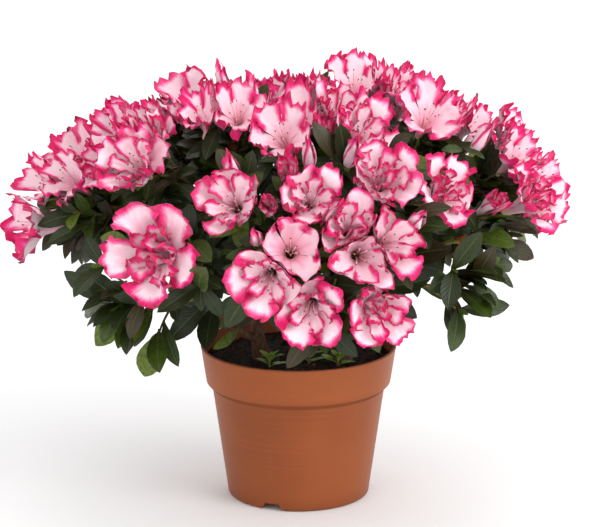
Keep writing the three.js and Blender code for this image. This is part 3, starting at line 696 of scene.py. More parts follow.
def varietyCollection(name, meshes):
    # an unlinked collection that instances are picked from, in the order of its object names
    collection = bpy.data.collections.new(name)
    for i, mesh in enumerate(meshes):
        collection.objects.link(bpy.data.objects.new(f"{name}_{i:02d}", mesh))
    return collection


def dropCollection(collection):
    for thing in list(collection.objects):
        bpy.data.objects.remove(thing)
    bpy.data.collections.remove(collection)


def instancesOn(net, given, points, which, turn, size):
    chosen = net.node("GeometryNodeCollectionInfo", {"transform_space": "ORIGINAL"},
                      {"Collection": given["Varieties"], "Separate Children": True, "Reset Children": True})
    return net.node("GeometryNodeInstanceOnPoints", None, {
        "Points": points, "Instance": chosen, "Pick Instance": True, "Instance Index": which,
        "Rotation": turn, "Scale": size})


def movedBy(net, geometry, direction, amount):
    offset = net.vector("SCALE", {0: direction, "Scale": amount})
    return net.node("GeometryNodeSetPosition", None, {"Geometry": geometry, "Offset": offset})


def plantingTree(name, material):
    # instances on the points, then crinkled where the margin attribute says
    net, given = newGrowth(name, {"Varieties": "Collection", "Crinkle": "Float", "Crinkle Scale": "Float"})
    planted = instancesOn(net, given, given["Geometry"], net.named("which", "INT"),
                          net.named("turn", "FLOAT_VECTOR"), net.named("size", "FLOAT_VECTOR"))
    real = net.node("GeometryNodeRealizeInstances", None, {"Geometry": planted})
    rough = net.node("ShaderNodeTexNoise", None, {"Vector": net.node("GeometryNodeInputPosition"),
                                                  "Scale": given["Crinkle Scale"], "Detail": 1.0}, 1)
    centred = net.vector("SUBTRACT", {0: rough, 1: (0.5, 0.5, 0.5)})
    return endGrowth(net, movedBy(net, real, centred, given["Crinkle"] * net.named("margin") * 4), material)


def plantKind(name, meshes, places, material, tints=None, crinkle=0.0, crinkleScale=1.0):
    # places: position in millimetres, turn, size in millimetres, which variety
    varieties = varietyCollection(name + "Varieties", meshes)
    start = addObject(name + "Points", meshFrom(name + "Points", [place[0] * metre for place in places], []))
    putAttribute(start.data, "turn", "FLOAT_VECTOR", [tuple(place[1]) for place in places])
    putAttribute(start.data, "size", "FLOAT_VECTOR", [np.array(place[2]) * metre for place in places])
    putAttribute(start.data, "which", "INT", [place[3] for place in places])
    putAttribute(start.data, "shoot", "INT", range(len(places)))
    if tints:
        putAttribute(start.data, "variety", "INT", tints)
    piece = grow(name, start, plantingTree(name + "Planting", material),
                 {"Varieties": varieties, "Crinkle": crinkle, "Crinkle Scale": crinkleScale})
    dropCollection(varieties)
    smoothShade(piece.data)
    return piece


def pickCells(mesh, cells, margin, perShoot=0):
    # moves each face's place on the pattern into the cell of its variety
    layer = mesh.uv_layers["OFBake"]
    places = np.zeros(len(mesh.loops) * 2, dtype=np.float32)
    layer.data.foreach_get("uv", places)
    numbers = readNumbers(mesh, "variety") + readNumbers(mesh, "shoot") * perShoot
    cell = (numbers % (cells * cells))[cornersOf(mesh)]
    corner = np.stack([cell % cells, cell // cells], axis=1)
    places = (corner + margin + places.reshape(-1, 2) * (1 - 2 * margin)) / cells
    layer.data.foreach_set("uv", places.astype(np.float32).ravel())


# ---- blossoms: a few petal whorls with seeded ruffles, set on their shoots

petals = {
    "rows": [0, 0.17, 0.32, 0.44, 0.55, 0.65, 0.75, 0.84, 0.92, 0.97, 1],
    "columns": [-1, -0.9, -0.75, -0.57, -0.36, -0.12, 0.12, 0.36, 0.57, 0.75, 0.9, 1],
    "cells": 4,          # the petal pattern has 4 by 4 varieties
    "cellMargin": 0.03, "crinkle": 0.0014, "crinkleScale": 190,
    "borderSoft": 6.0, "borderWave": 1.3, "drawIn": 0.85, "mostDrawn": 0.6,
    "cup": (-0.14, 0.09), "wide": (0.88, 1.12), "longer": (0.86, 1.04), "tilt": (-0.11, 0.11),
    "ruffleRange": (0.7, 1.35), "sway": (-0.12, 0.12),
    # ruffles along the sides, across the lobe and aslant; teeth on the rim, bays in the sides
    "alongWave": 23, "acrossWave": (0.9, 8.5), "slantWave": (0.4, 15, 11), "keel": 0.06, "buckle": 0.03,
    "toothWave": (0.026, 26), "toothChance": 0.034, "bayWave": (0.11, 21),
}
# form of each variety: the bloom kinds come first, in the order that shoots pick from
varietyForms = {
    "bloom": ["single", "hose", "hose", "double", "single", "hose", "double", "hose", "hose", "double"],
    "opening": ["half", "half", "half"], "bud": ["shut", "shut", "shut", "shut"],
}
plainest = [0, 4]        # the single blooms
whorlFields = ("count", "first", "line", "halfAngle", "ruffle", "twist", "over", "teeth", "patternFrom")


def petalLine(tube, lean, recurve, spread, rise, start=0.07):
    # the middle line of a petal: up the tube, out into the lobe and over at its tip
    count = 60
    r, z, line = 0, 0, []
    for i in range(count + 1):
        u = i / count
        angle = math.radians(mix(15, lean, step(tube - 0.12, tube + 0.26, u)) + recurve * step(0.68, 1, u))
        line.append((r, z))
        r += math.sin(angle) / count
        z += math.cos(angle) / count
    top = max(z for _, z in line)
    widest = max(r for r, _ in line)
    return [(start + (spread - start) * r / widest, -0.03 + (rise + 0.03) * z / top) for r, z in line]


def linePoint(line, u):
    # radius and height on the line, and the direction square to it
    where = clamp(u, 0, 1) * (len(line) - 1)
    i = min(int(where), len(line) - 2)
    (r0, z0), (r1, z1) = line[i], line[i + 1]
    run = math.hypot(r1 - r0, z1 - z0)
    return mix(r0, r1, where - i), mix(z0, z1, where - i), -(z1 - z0) / run, (r1 - r0) / run


def petalSheet(spec, angle, random):
    # one petal of a unit blossom: radius 1, height 1, axis up
    phases = [random() * 6.28 for _ in range(6)]
    cup, wide, longer, tilt = (mix(*petals[key], random()) for key in ("cup", "wide", "longer", "tilt"))
    ruffle = spec["ruffle"] * mix(*petals["ruffleRange"], random())
    sway = mix(*petals["sway"], random())
    acrossHigh, acrossTurns = petals["acrossWave"]
    slantHigh, slantAcross, slantAlong = petals["slantWave"]
    (toothHigh, toothTurns), (bayDeep, bayTurns) = petals["toothWave"], petals["bayWave"]
    points, places, margins = [], [], []
    for u in petals["rows"]:
        r, z, outR, outZ = linePoint(spec["line"], u)
        lobe = step(0.46, 0.78, u)
        r *= mix(1, longer, lobe)
        half = spec["halfAngle"](u) * mix(1, wide, lobe)
        for t in petals["columns"]:
            side = 1 if t > 0 else -1
            rim = max(step(0.55, 1, abs(t)) * step(0.46, 0.62, u), 0.9 * step(0.84, 1, u))
            margin = max(rim, 0.4 * lobe * t * t)
            wave = math.sin(petals["alongWave"] * u + 3 * side + phases[0 if t > 0 else 1]) \
                * step(0.2, 0.9, abs(t)) \
                + acrossHigh * math.sin(acrossTurns * t + phases[2]) * step(0.62, 1, u) \
                + slantHigh * math.sin(slantAcross * t + slantAlong * u + phases[3])
            keel = petals["keel"] * (abs(t) - 0.35) * lobe \
                + petals["buckle"] * lobe * math.sin(5.5 * t + 6 * u + phases[5])
            out = ruffle * margin * wave + cup * t * t * lobe + tilt * lobe * u + keel \
                + spec["over"] * t * step(0.42, 0.55, u)
            tooth = (toothHigh * math.sin(toothTurns * t + phases[4])
                     + petals["toothChance"] * (random() - 0.5)) * spec["teeth"]
            bay = bayDeep * math.sin(bayTurns * u + phases[4] + 2 * side) * lobe * t * t
            phi = angle + t * (1 + 0.8 * tooth * rim + bay) * half + spec["twist"] * u + sway * lobe * u
            radius = r * (1 + (tooth - 0.12 * t * t) * step(0.8, 1, u)) + outR * out
            points.append((radius * math.cos(phi), radius * math.sin(phi), z + outZ * out))
            places.append((t * 0.5 + 0.5, spec["patternFrom"] + (1 - spec["patternFrom"]) * u))
            margins.append(margin)
    return points, places, margins


def lobeOutline(base, wide, tip, broadest=0.78):
    # half the angle that a petal takes up round the axis
    def halfAngle(u):
        if u < broadest:
            return mix(base, wide, step(0.38, broadest, u))
        q = (u - broadest) / (1 - broadest)
        return mix(tip, wide, math.sqrt(max(0, 1 - q ** 2.6)))
    return halfAngle


def whorlShapes(kind, form, random):
    # the whorls of one blossom variety, each in the order of whorlFields
    if kind == "bloom":
        lean = mix(50, 78, random())
        spread = mix(0.99, 1.1, random())
        whorls = [(5, random() * 1.25, petalLine(0.24, lean, mix(0, 35, random()), spread, 0.97),
                   lobeOutline(0.62, mix(0.5, 0.66, random()), 0.36), 0.085, 0, 0.05, 1, 0)]
        if form != "single":
            whorls.append((5, whorls[0][1] + 0.63 + 0.3 * (random() - 0.5),
                           petalLine(0.3, lean * 0.8, 12, spread * mix(0.55, 0.74, random()), 1.02),
                           lobeOutline(0.56, 0.52, 0.3), 0.075, mix(-0.3, 0.3, random()), 0.05, 0.9, 0.1))
        if form == "double":
            whorls.append((4, random() * 1.5, petalLine(0.5, 42, 25, 0.36, 0.98), lobeOutline(0.4, 0.66, 0.5),
                           0.07, mix(-0.7, 0.7, random()), 0.07, 0.9, 0.22))
    elif kind == "opening":
        mouth = mix(0.72, 1.0, random())
        whorls = [(5, random(), petalLine(0.18, mix(22, 34, random()), 26, mouth, 1, 0.14),
                   lobeOutline(0.8, 0.8, 0.28), 0.08, 0.7, 0.1, 1, 0.24),
                  (4, random(), petalLine(0.3, 20, 12, mouth * 0.6, 0.95, 0.1),
                   lobeOutline(0.8, 0.72, 0.14), 0.08, 1.1, 0.1, 1, 0.24)]
    else:
        slim = mix(0.9, 1.05, random())
        ovoid = [(0.12 + 0.88 * slim * math.sin(math.pi * (i / 40) ** 0.8) ** 0.8 * (1 - 0.25 * i / 40),
                  i / 40) for i in range(41)]
        whorls = [(4, random(), ovoid, lobeOutline(0.95, 0.98, 0.25, 0.6), 0.05, 1.25, 0.14, 1.2, 0.42)]
    return [dict(zip(whorlFields, whorl)) for whorl in whorls]


def blossomVariety(kind, form, seed):
    random = makeRandom(seed)
    points, faces, places, margins, numbers = [], [], [], [], []
    for spec in whorlShapes(kind, form, random):
        for i in range(spec["count"]):
            angle = spec["first"] + 2 * math.pi * i / spec["count"] + 0.08 * (random() - 0.5)
            sheet, sheetPlaces, sheetMargins = petalSheet(spec, angle, random)
            faces += gridFaces(len(petals["rows"]), len(petals["columns"]), len(points))
            points += sheet
            places += sheetPlaces
            margins += sheetMargins
            numbers += [int(random() * petals["cells"] ** 2)] * len(sheet)
    mesh = meshFrom(f"{kind}_{seed}", points, faces)
    putPattern(mesh, places)
    putAttribute(mesh, "margin", "FLOAT", margins)
    putAttribute(mesh, "variety", "INT", numbers)
    return mesh


def petalMaterial():
    material, net = newMaterial("picotee_petal", {
        "Roughness": 0.6, "Sheen Weight": 0.15, "Sheen Roughness": 0.4, "Specular IOR Level": 0.25})
    across, along, cell = patternCell(net, petals["cells"], petals["cellMargin"])
    chance, other = (net.node("ShaderNodeTexWhiteNoise", {"noise_dimensions": "1D"}, {"W": cell + shift})
                     for shift in (0.5, 37.5))
    streakPlace = net.combine(net.math("ARCTAN2", across * 0.6, along - 0.3) * 7, along * 1.6, cell * 3.7)
    streak = net.noise(streakPlace, 2.8, 3, 0.6)
    patch = net.noise(net.combine(across * 1.2, along * 2, cell * 5.1 + 2), 2.2, 2)
    # distance from the free margin, in petal lengths: at the sides only where the lobe is free
    free = net.smooth(along, 0.46, 0.6)
    sides = (1 - across.math("ABSOLUTE")) * 0.42 + (1 - free) * 0.3
    gap = net.math("MINIMUM", sides, (1 - along) * 1.5)
    wide = chance * 0.04 + patch * 0.062 + 0.024
    rim = net.ramp(gap / (wide * 2.8) + (streak - 0.5) * 0.6, [
        (0, 210, 16, 90), (0.36, 234, 34, 118), (0.52, 239, 84, 152), (0.68, 242, 144, 182),
        (0.85, 247, 196, 214), (1, 250, 224, 233)])
    heart = net.ramp(along * 1.9, [(0, 218, 212, 156), (0.12, 246, 208, 186), (0.34, 252, 192, 206),
                                   (0.7, 251, 208, 222), (1, 250, 222, 232)])
    vein = net.smooth(streak, 0.58, 0.78) * (1 - net.smooth(along, 0.5, 0.85)) * 0.32
    stripe = (1 - net.smooth(across.math("ABSOLUTE"), 0.04, 0.3)) * (1 - net.smooth(along, 0.45, 0.8)) * 0.3
    veined = net.blend(net.math("MAXIMUM", vein, stripe), heart, color(236, 132, 166))
    lines = net.smooth(net.noise(streakPlace, 6, 2), 0.5, 0.75) * 0.16
    skin = net.blend(lines, net.blend(free, veined, rim), color(236, 120, 164))
    flush = net.smooth(other, 0.5, 1) * 0.3 * net.smooth(patch, 0.35, 0.7)
    net.feed("Base Color", net.blend(flush, skin, color(242, 140, 178)))
    net.relief(streak, 0.2, 0.0005)
    return material


def pickVarieties():
    # which variety each flowering shoot gets, kept on the shoot
    firstOf, total = {}, 0
    for kind, forms in varietyForms.items():
        firstOf[kind] = total
        total += len(forms)
    for mass in masses:
        random = makeRandom(seedOf("picks", mass["index"]))
        for shoot in floweringOf([mass]):
            forms = varietyForms[shoot["kind"]]
            pick = int(random() * len(forms))
            if shoot["kind"] == "bloom" and mass["name"] in narrowMasses:
                pick = plainest[0] if random() < 0.5 else plainest[1]
            elif forms[pick] == "double" and mass["name"] not in openMasses:
                pick = (pick + 1) % len(forms)      # only where there is room for the third whorl
            elif forms[pick] == "single" and mass["name"] in openMasses + ["middle"] and random() < 0.75:
                pick = (pick + (2 if random() < 0.5 else 3)) % len(forms)
            shoot["variety"], shoot["form"] = firstOf[shoot["kind"]] + pick, forms[pick]


def shootTurn(shoot):
    across = spoke(squareTo(shoot["facing"]), math.radians(shoot["roll"]))
    return turnFrom(across, np.cross(shoot["facing"], across), shoot["facing"])


def shootPlace(shoot, which):
    return shoot["base"], shootTurn(shoot), (shoot["size"] / 2, shoot["size"] / 2, shoot["length"]), which


def makeBlossoms(name, owners, material):
    meshes = []
    for kind, forms in varietyForms.items():
        for form in forms:
            meshes.append(blossomVariety(kind, form, seedOf("blossom", len(meshes))))
    piece = plantKind(name, meshes, [shootPlace(shoot, shoot["variety"]) for shoot in floweringOf(owners)],
                      material, crinkle=petals["crinkle"], crinkleScale=petals["crinkleScale"])
    keepApart(piece.data, owners)
    pickCells(piece.data, petals["cells"], petals["cellMargin"], 5)
    return piece


def pressedBack(over):
    # how far past a border a point still is, once pressed softly back to it
    soft = petals["borderSoft"]
    return np.where(over > -soft, -soft + soft * np.tanh((over + soft) / soft), over)


def drawnIn(points, normal, limit, shoot):
    # petals that cross the border are drawn in towards their own axis
    over = points @ normal - limit
    heights = (points - shoot["base"]) @ shoot["facing"]
    inward = shoot["base"] + heights[:, None] * shoot["facing"] - points
    reach = np.maximum(np.linalg.norm(inward, axis=1), 0.01)
    inward = inward / reach[:, None]
    share = np.clip((-(inward @ normal) - 0.15) / 0.45, 0, 1)
    slide = np.minimum((over - pressedBack(over)) / np.maximum(-(inward @ normal), 0.15),
                       reach * petals["mostDrawn"])
    return points + inward * (slide * share * petals["drawIn"])[:, None]


def keepApart(mesh, owners):
    # petals that would pass into a neighbour are pressed back along a wavy border between the two
    points = np.zeros(len(mesh.vertices) * 3)
    mesh.vertices.foreach_get("co", points)
    points = points.reshape(-1, 3) * 1000
    belongs = readNumbers(mesh, "shoot")
    index = 0
    for mass in owners:
        for shoot in floweringOf([mass]):
            mine = np.nonzero(belongs == index)[0]
            walls = wallsOf(shoot, mass["allShoots"], mass["planes"])
            for normal, limit in walls:
                points[mine] = drawnIn(points[mine], normal, limit, shoot)
            for which, (normal, limit) in enumerate(walls):
                here = points[mine]
                side, rise = squareTo(normal)
                wave = np.sin(here @ side * 0.33 + 2.1 * which + index) \
                    + np.sin(here @ rise * 0.41 + 1.7 * index)
                over = here @ normal - (limit + 1.0 + petals["borderWave"] * wave)
                points[mine] += np.outer(pressedBack(over) - over, normal)
            index += 1
    mesh.vertices.foreach_set("co", (points * metre).astype(np.float32).ravel())


pickVarieties()
petalSkin = petalMaterial()
frontCount = len(frontMasses)
blossomPieces = [makeBlossoms("blossoms_front", masses[:frontCount], petalSkin),
                 makeBlossoms("blossoms_back", masses[frontCount:], petalSkin)]
print("blossoms", [len(piece.data.polygons) for piece in blossomPieces], "faces")


# ---- leaves

leafShape = {
    "rows": [0, 0.07, 0.17, 0.31, 0.47, 0.62, 0.76, 0.88, 0.96, 1], "columns": [-1, -0.5, 0, 0.5, 1],
    "length": 31, "lengthRange": (0.6, 1.25), "width": 0.44, "cells": 4, "cellMargin": 0.03, "varieties": 8,
    "shorter": (1, 0.8, 0.62),     # a leaf that doesn't fit is tried shorter
    "arch": (-0.03, 0.14), "fold": (0.05, 0.3), "sway": (-0.08, 0.08), "twist": (-0.4, 0.4),
    "broad": (0.7, 1.06), "ripple": (0.004, 0.014),
}
leafPlan = {
    "spacing": 4.6, "leafySpacing": 3.6, "limbRoom": 1.5, "blossomRoom": 0.5,
    "rimRoom": 2.5, "boughRimRoom": 4,
    "boughFrom": 0.36, "boughSpacing": 2.5, "boughScale": 0.9, "boughParts": 4, "borderStray": 1.5,
    "thin": {"leaves_left": 9.0, "leaves_right": 8.0, "big_left": 0.9, "front_low": 1.3, "low_right": 1.9},
    "openThin": 2,                 # past this a bunch hangs open: rosettes at the tips, more droop
    "nod": 0.7, "openNod": 1.1, "backNod": -0.3,     # how far leaf faces turn to the front
    "droop": 0.5, "openDroop": 1.0, "lean": (0.45, 1.35),
}
sideTwig = {"spacing": 11, "lean": (0.5, 1.1), "length": (9, 19), "room": 2, "leavesFrom": 0.3}
rosetteShape = {"least": 2, "more": 2.5, "young": 2, "youngLength": (8, 13), "lengthRange": (0.65, 1.25),
                "lean": (0.4, 1.1), "droop": 0.8, "youngTint": 0.97}
betweenLeaf = {"length": (30, 42), "from": 0.55, "stray": 3, "spread": 0.4}


def leafVariety(seed):
    # a unit leaf along +Y, its face towards +Z
    random = makeRandom(seed)
    arch, fold, sway, twist, broad, ripple = (
        mix(*leafShape[key], random()) for key in ("arch", "fold", "sway", "twist", "broad", "ripple"))
    phase = random() * 6.28
    points, places = [], []
    for u in leafShape["rows"]:
        blade = clamp((u - 0.05) / 0.95, 0, 1) ** 1.2
        half = 0.5 * leafShape["width"] * broad * (4 * blade * (1 - blade)) ** 0.84
        half = max(half, 0.018 * (1 - u) + 0.004)
        for t in leafShape["columns"]:
            lift = fold * abs(t) * half + arch * (1 - (2 * u - 0.7) ** 2) \
                + ripple * t * t * math.sin(17 * u + phase * (1 if t > 0 else 2))
            turn = twist * (u - 0.3)
            x = t * half
            points.append((x * math.cos(turn) + sway * u * u, u, lift + x * math.sin(turn)))
            places.append((t * 0.5 + 0.5, u))
    mesh = meshFrom(f"leaf_{seed}", points, gridFaces(len(leafShape["rows"]), len(leafShape["columns"])))
    putPattern(mesh, places)
    return mesh


def insideBlossoms(marks, shoots):
    throat = blossom["throatHeight"]
    for shoot in shoots:
        if shoot["kind"] == "leafy":
            continue
        heights = (marks - shoot["base"]) @ shoot["facing"]
        away = np.linalg.norm(marks - shoot["base"] - heights[:, None] * shoot["facing"], axis=1)
        share = heights / shoot["length"]
        full = shoot["size"] / 2
        tube = full * blossom["tubeShare"]
        radius = np.where(share < throat, mix(blossom["baseRadius"], tube, np.clip(share, 0, 1) / throat),
                          mix(tube, full, np.clip((share - throat) / (1 - throat), 0, 1)))
        if ((share > -0.05) & (share < 1.1) & (away < radius + leafPlan["blossomRoom"])).any():
            return True
    return False


def leafMarks(root, direction, face, span):
    across = np.cross(direction, face)
    half = span * leafShape["width"] * 0.5
    middle = root + direction * span * 0.5
    return np.array([root + direction * span * 0.4, root + direction * span * 0.7, root + direction * span,
                     middle + across * half, middle - across * half])


def touchesRim(marks, room):
    near = np.hypot(marks[:, 0], marks[:, 1]) < potSizes["rimRadius"] + leafPlan["rimRoom"]
    return (near & (marks[:, 2] < potSizes["height"] + room)).any()


def leafFits(marks, mass):
    if (marks @ mass["planes"][0].T - mass["planes"][1]).max() > leafPlan["borderStray"]:
        return False
    scales = np.linalg.norm((marks - crown["centre"]) / crown["reach"], axis=1)
    if scales.max() > crown["outerScale"] or scales.min() < crown["innerScale"]:
        return False
    if touchesRim(marks, leafPlan["rimRoom"]):
        return False
    if any(gapsTo(limb, marks).min() < leafPlan["limbRoom"] for limb in limbs):
        return False
    return not insideBlossoms(marks, mass["allShoots"])


def leafHabit(massName):
    # how thinly a mass is leaved, whether it hangs open, and how far its leaves turn to the front
    thin = leafPlan["thin"].get(massName, 1)
    isOpen = thin > leafPlan["openThin"]
    nod = leafPlan["openNod" if isOpen else "nod"] if massName in frontNames else leafPlan["backNod"]
    return thin, isOpen, nod


def leafLine(start, end, first, last, spacing, which, random, nod, droop=leafPlan["droop"]):
    # leaves along a line by turns of the golden angle: root, direction, face, length, tint
    axis, reach, sides = frameOf(start, end)
    tries = max(1 if droop > leafPlan["droop"] else 3, round(reach * (last - first) / spacing))
    for i in range(tries):
        root = start + axis * reach * mix(first, last, (i + 0.5) / tries)
        angle = math.radians(which * 70 + i * goldenAngle)
        direction = unit(spoke(sides, angle) + axis * mix(*leafPlan["lean"], random())
                         - up * droop * random())
        span = leafShape["length"] * mix(*leafShape["lengthRange"], random())
        tint = random()
        face = crownNormalAt(root + direction * span) + up * 0.6 + sides[0] * 0.3 * (random() - 0.5) \
            + np.array([0, -nod, 0])
        yield root, direction, squared(face, direction), span, tint


def rosette(start, end, random):
    # a whorl of leaves at the end of a twig, round a pale young bud
    axis, _, sides = frameOf(start, end)
    big, first = rosetteShape["least"] + int(random() * rosetteShape["more"]), random() * 6.28
    for i in range(big + rosetteShape["young"]):
        young = i >= big
        angle = first + 2 * math.pi * i / (rosetteShape["young"] if young else big) + 0.5 * random()
        direction = unit(spoke(sides, angle) * (0.35 if young else 1)
                         + axis * mix(*rosetteShape["lean"], random())
                         - up * (0 if young else rosetteShape["droop"] * random()))
        span = mix(*rosetteShape["youngLength"], random()) if young \
            else leafShape["length"] * mix(*rosetteShape["lengthRange"], random())
        face = axis * 0.5 + up * 0.7 + crownNormalAt(end) * 0.3 + np.array([0, -0.9, 0])
        yield (end - axis * 2 * random(), direction, squared(face, direction), span,
               rosetteShape["youngTint"] if young else random())


def planSideTwigs(mass, lines, thin, random):
    twigs = []
    for start, end, *_ in lines:
        axis, reach, sides = frameOf(start, end)
        count = int(reach / sideTwig["spacing"] / thin)
        for i in range(count):
            angle = random() * 2 * math.pi
            direction = unit(spoke(sides, angle) + axis * mix(*sideTwig["lean"], random()))
            root = start + axis * reach * ((i + 0.6) / count)
            tip = root + direction * mix(*sideTwig["length"], random())
            if overhang(tip, mass["planes"]) <= -sideTwig["room"] \
                    and not insideBlossoms(np.array([tip]), mass["allShoots"]):
                twigs.append((root, tip))
    return twigs


def leavesBetween(mass, random):
    # a few leaves that stand out between the blossoms of a mass
    shoots = mass["allShoots"]
    count = len(shoots)
    pairs = [(i, (i + 1) % count) for i in range(count)]
    pairs += [(i, (i + 2) % count) for i in range(count) if count > 3]
    for i, j in pairs:
        shoot, other = shoots[i], shoots[j]
        stray = betweenLeaf["spread"] * np.array([random(), random(), random()])
        direction = unit(shoot["facing"] + other["facing"] + stray - betweenLeaf["spread"] / 2)
        root = mix(mass["hub"], (shoot["base"] + other["base"]) / 2, betweenLeaf["from"])
        span = mix(*betweenLeaf["length"], random())
        tip = root + direction * span
        if count < 2 or insideBlossoms(np.array([tip, root + direction * span * 0.7]), shoots) \
                or overhang(tip, mass["planes"]) > betweenLeaf["stray"] \
                or crownScaleAt(tip) > crown["outerScale"]:
            continue
        yield root, direction, squared(up + crownNormalAt(tip) * 0.5, direction), span, random()


def planLeaves(mass):
    # on a mass's stem, its twigs and finer side twigs, and a few that stand out between its blossoms
    random = makeRandom(seedOf("leaves", mass["index"]))
    thin, isOpen, nod = leafHabit(mass["name"])
    lines = [(mass["tip"], mass["hub"], 0.05, 0.95, leafPlan["spacing"])]
    for shoot in mass["allShoots"]:
        last, spacing = (1, "leafySpacing") if shoot["kind"] == "leafy" else (0.96, "spacing")
        lines.append((shoot["fork"], shoot["base"], 0.25, last, leafPlan[spacing]))
    mass["sideTwigs"] = planSideTwigs(mass, lines, thin, random)
    lines += [(start, end, sideTwig["leavesFrom"], 1, leafPlan["leafySpacing"])
              for start, end in mass["sideTwigs"]]
    leaves = []
    for which, (start, end, first, last, spacing) in enumerate(lines):
        line = list(leafLine(start, end, first, last, spacing * thin, which, random, nod,
                             leafPlan["openDroop" if isOpen else "droop"]))
        if isOpen:
            line += rosette(start, end, random)
        for root, direction, face, span, tint in line:
            for shorter in leafShape["shorter"]:
                if leafFits(leafMarks(root, direction, face, span * shorter), mass):
                    leaves.append((root, direction, face, span * shorter, tint))
                    break
    return leaves + list(leavesBetween(mass, random))


def planBoughLeaves(limb, index, allShoots):
    # leaves that close the inside of the crown, along the outer part of a bough
    random = makeRandom(seedOf("boughLeaves", index))
    thin, _, nod = leafHabit(limb["name"].replace("bough_", ""))
    shares = np.linspace(leafPlan["boughFrom"], 1, leafPlan["boughParts"] + 1)
    leaves = []
    for part in range(leafPlan["boughParts"]):
        start, end = curvePoint(limb, shares[part])[0], curvePoint(limb, shares[part + 1])[0]
        for leaf in leafLine(start, end, 0, 1, leafPlan["boughSpacing"] * thin, part + index, random, nod):
            marks = leafMarks(*leaf[:4])
            if not touchesRim(marks, leafPlan["boughRimRoom"]) \
                    and crownScaleAt(marks[2]) < leafPlan["boughScale"] \
                    and not insideBlossoms(marks, allShoots):
                leaves.append(leaf)
    return leaves


def leafMaterial():
    material, net = newMaterial("azalea_leaf", {"Specular IOR Level": 0.36})
    across, along, cell = patternCell(net, leafShape["cells"], leafShape["cellMargin"])
    across = across.math("ABSOLUTE")
    blade = net.ramp((cell + 0.5) / 16, [
        (0, 31, 42, 12), (0.19, 42, 54, 12), (0.38, 34, 46, 11), (0.5, 50, 66, 16), (0.63, 56, 44, 18),
        (0.75, 61, 78, 16), (0.88, 73, 93, 20), (0.94, 94, 113, 28)], "CONSTANT")
    wave = ((along * 9 - across * 2.6) * math.pi).math("SINE").math("ABSOLUTE")
    vein = net.smooth(1 - wave, 0.75, 0.98) * net.smooth(across, 0.04, 0.2) * 0.16
    midrib = 1 - net.smooth(across, 0.015, 0.075)
    mottle = net.noise(net.combine(across * 2, along * 5, cell * 4.3), 2, 3)
    shaded = net.blend(net.smooth(mottle, 0.35, 0.7) * 0.5, blade, color(24, 34, 16))
    veined = net.blend(vein, shaded, color(74, 96, 50))
    net.feed("Base Color", net.blend(midrib * 0.4, veined, color(100, 114, 56)))
    net.feed("Roughness", mottle * 0.3 + 0.24)
    net.relief(wave * 0.3 + net.smooth(across, 0, 0.15), 0.5, 0.0005)
    return material


def leafPlace(root, direction, face, span, which):
    return root, turnFrom(np.cross(direction, face), direction, face), (span, span, span), which


def makeLeaves():
    random = makeRandom(seedOf("leafKinds"))
    planned = [leaf for mass in masses for leaf in planLeaves(mass)]
    allShoots = [shoot for mass in masses for shoot in mass["allShoots"]]
    for index, limb in enumerate(limbs):
        if not limb["isStem"]:
            planned += planBoughLeaves(limb, index, allShoots)
    places = [leafPlace(root - direction * 0.8, direction, face, span, int(random() * leafShape["varieties"]))
              for root, direction, face, span, _ in planned]
    tints = [int(tint * leafShape["cells"] ** 2) for *_, tint in planned]
    piece = plantKind("leaves", varietiesOf(leafVariety, "leaf", leafShape["varieties"]), places,
                      leafMaterial(), tints)
    pickCells(piece.data, leafShape["cells"], leafShape["cellMargin"])
    return piece, len(places)


leafPiece, leafCount = makeLeaves()
print("leaves", leafCount, "with", len(leafPiece.data.polygons), "faces")


# ---- stamens, sepals and bud scales

hearts = {
    "filaments": 6, "filamentRadius": 0.014, "reach": (0.08, 0.24), "height": (0.72, 0.92), "foot": 0.1,
    "pistil": (0.08, 1.0),         # reach and height of the first one, the pistil
    "anther": 0.03, "varieties": 4, "sepalVarieties": 3,
    "sepalLength": 5.5, "budSepals": 1.5, "scaleLength": 9, "scaleRows": ((0.2, 1.0), (2.5, 0.8)),
    "sepalShape": (0.16, 0.24), "scaleShape": (0.4, 0.3),      # flare and width
}


def tubeAlong(line, radii, sides=3):
    points = []
    for i, (centre, radius) in enumerate(zip(line, radii)):
        square = squareTo(unit(line[min(i + 1, len(line) - 1)] - line[max(i - 1, 0)]))
        points += [centre + spoke(square, 2 * math.pi * j / sides) * radius for j in range(sides)]
    return points, tubeFaces(len(line), sides)


def joinParts(name, parts):
    points, faces = [], []
    for more, moreFaces in parts:
        faces += [tuple(len(points) + i for i in face) for face in moreFaces]
        points += list(more)
    return meshFrom(name, points, faces)


def stamenLines(random):
    lines, foot = [], hearts["foot"]
    for i in range(hearts["filaments"]):
        outward = around(2 * math.pi * (i + 0.5 * random()) / hearts["filaments"])
        reach, height = mix(*hearts["reach"], random()), mix(*hearts["height"], random())
        if i == 0:
            reach, height = hearts["pistil"]
        lines.append([outward * (0.03 + reach * q * q) + up * (foot + (height - foot) * q)
                      for q in (0, 0.35, 0.7, 1)])
    return lines


def filamentVariety(seed):
    radius = hearts["filamentRadius"]
    return joinParts(f"filament_{seed}", [tubeAlong(line, [radius] * len(line))
                                          for line in stamenLines(makeRandom(seed))])


def antherVariety(seed):
    size = hearts["anther"]
    parts = []
    for line in stamenLines(makeRandom(seed)):
        axis = unit(line[-1] - line[-2])
        parts.append(tubeAlong([line[-1] - axis * size * 0.6, line[-1], line[-1] + axis * size * 0.8],
                               [size * 0.4, size * 0.75, size * 0.35], 4))
    return joinParts(f"anther_{seed}", parts)


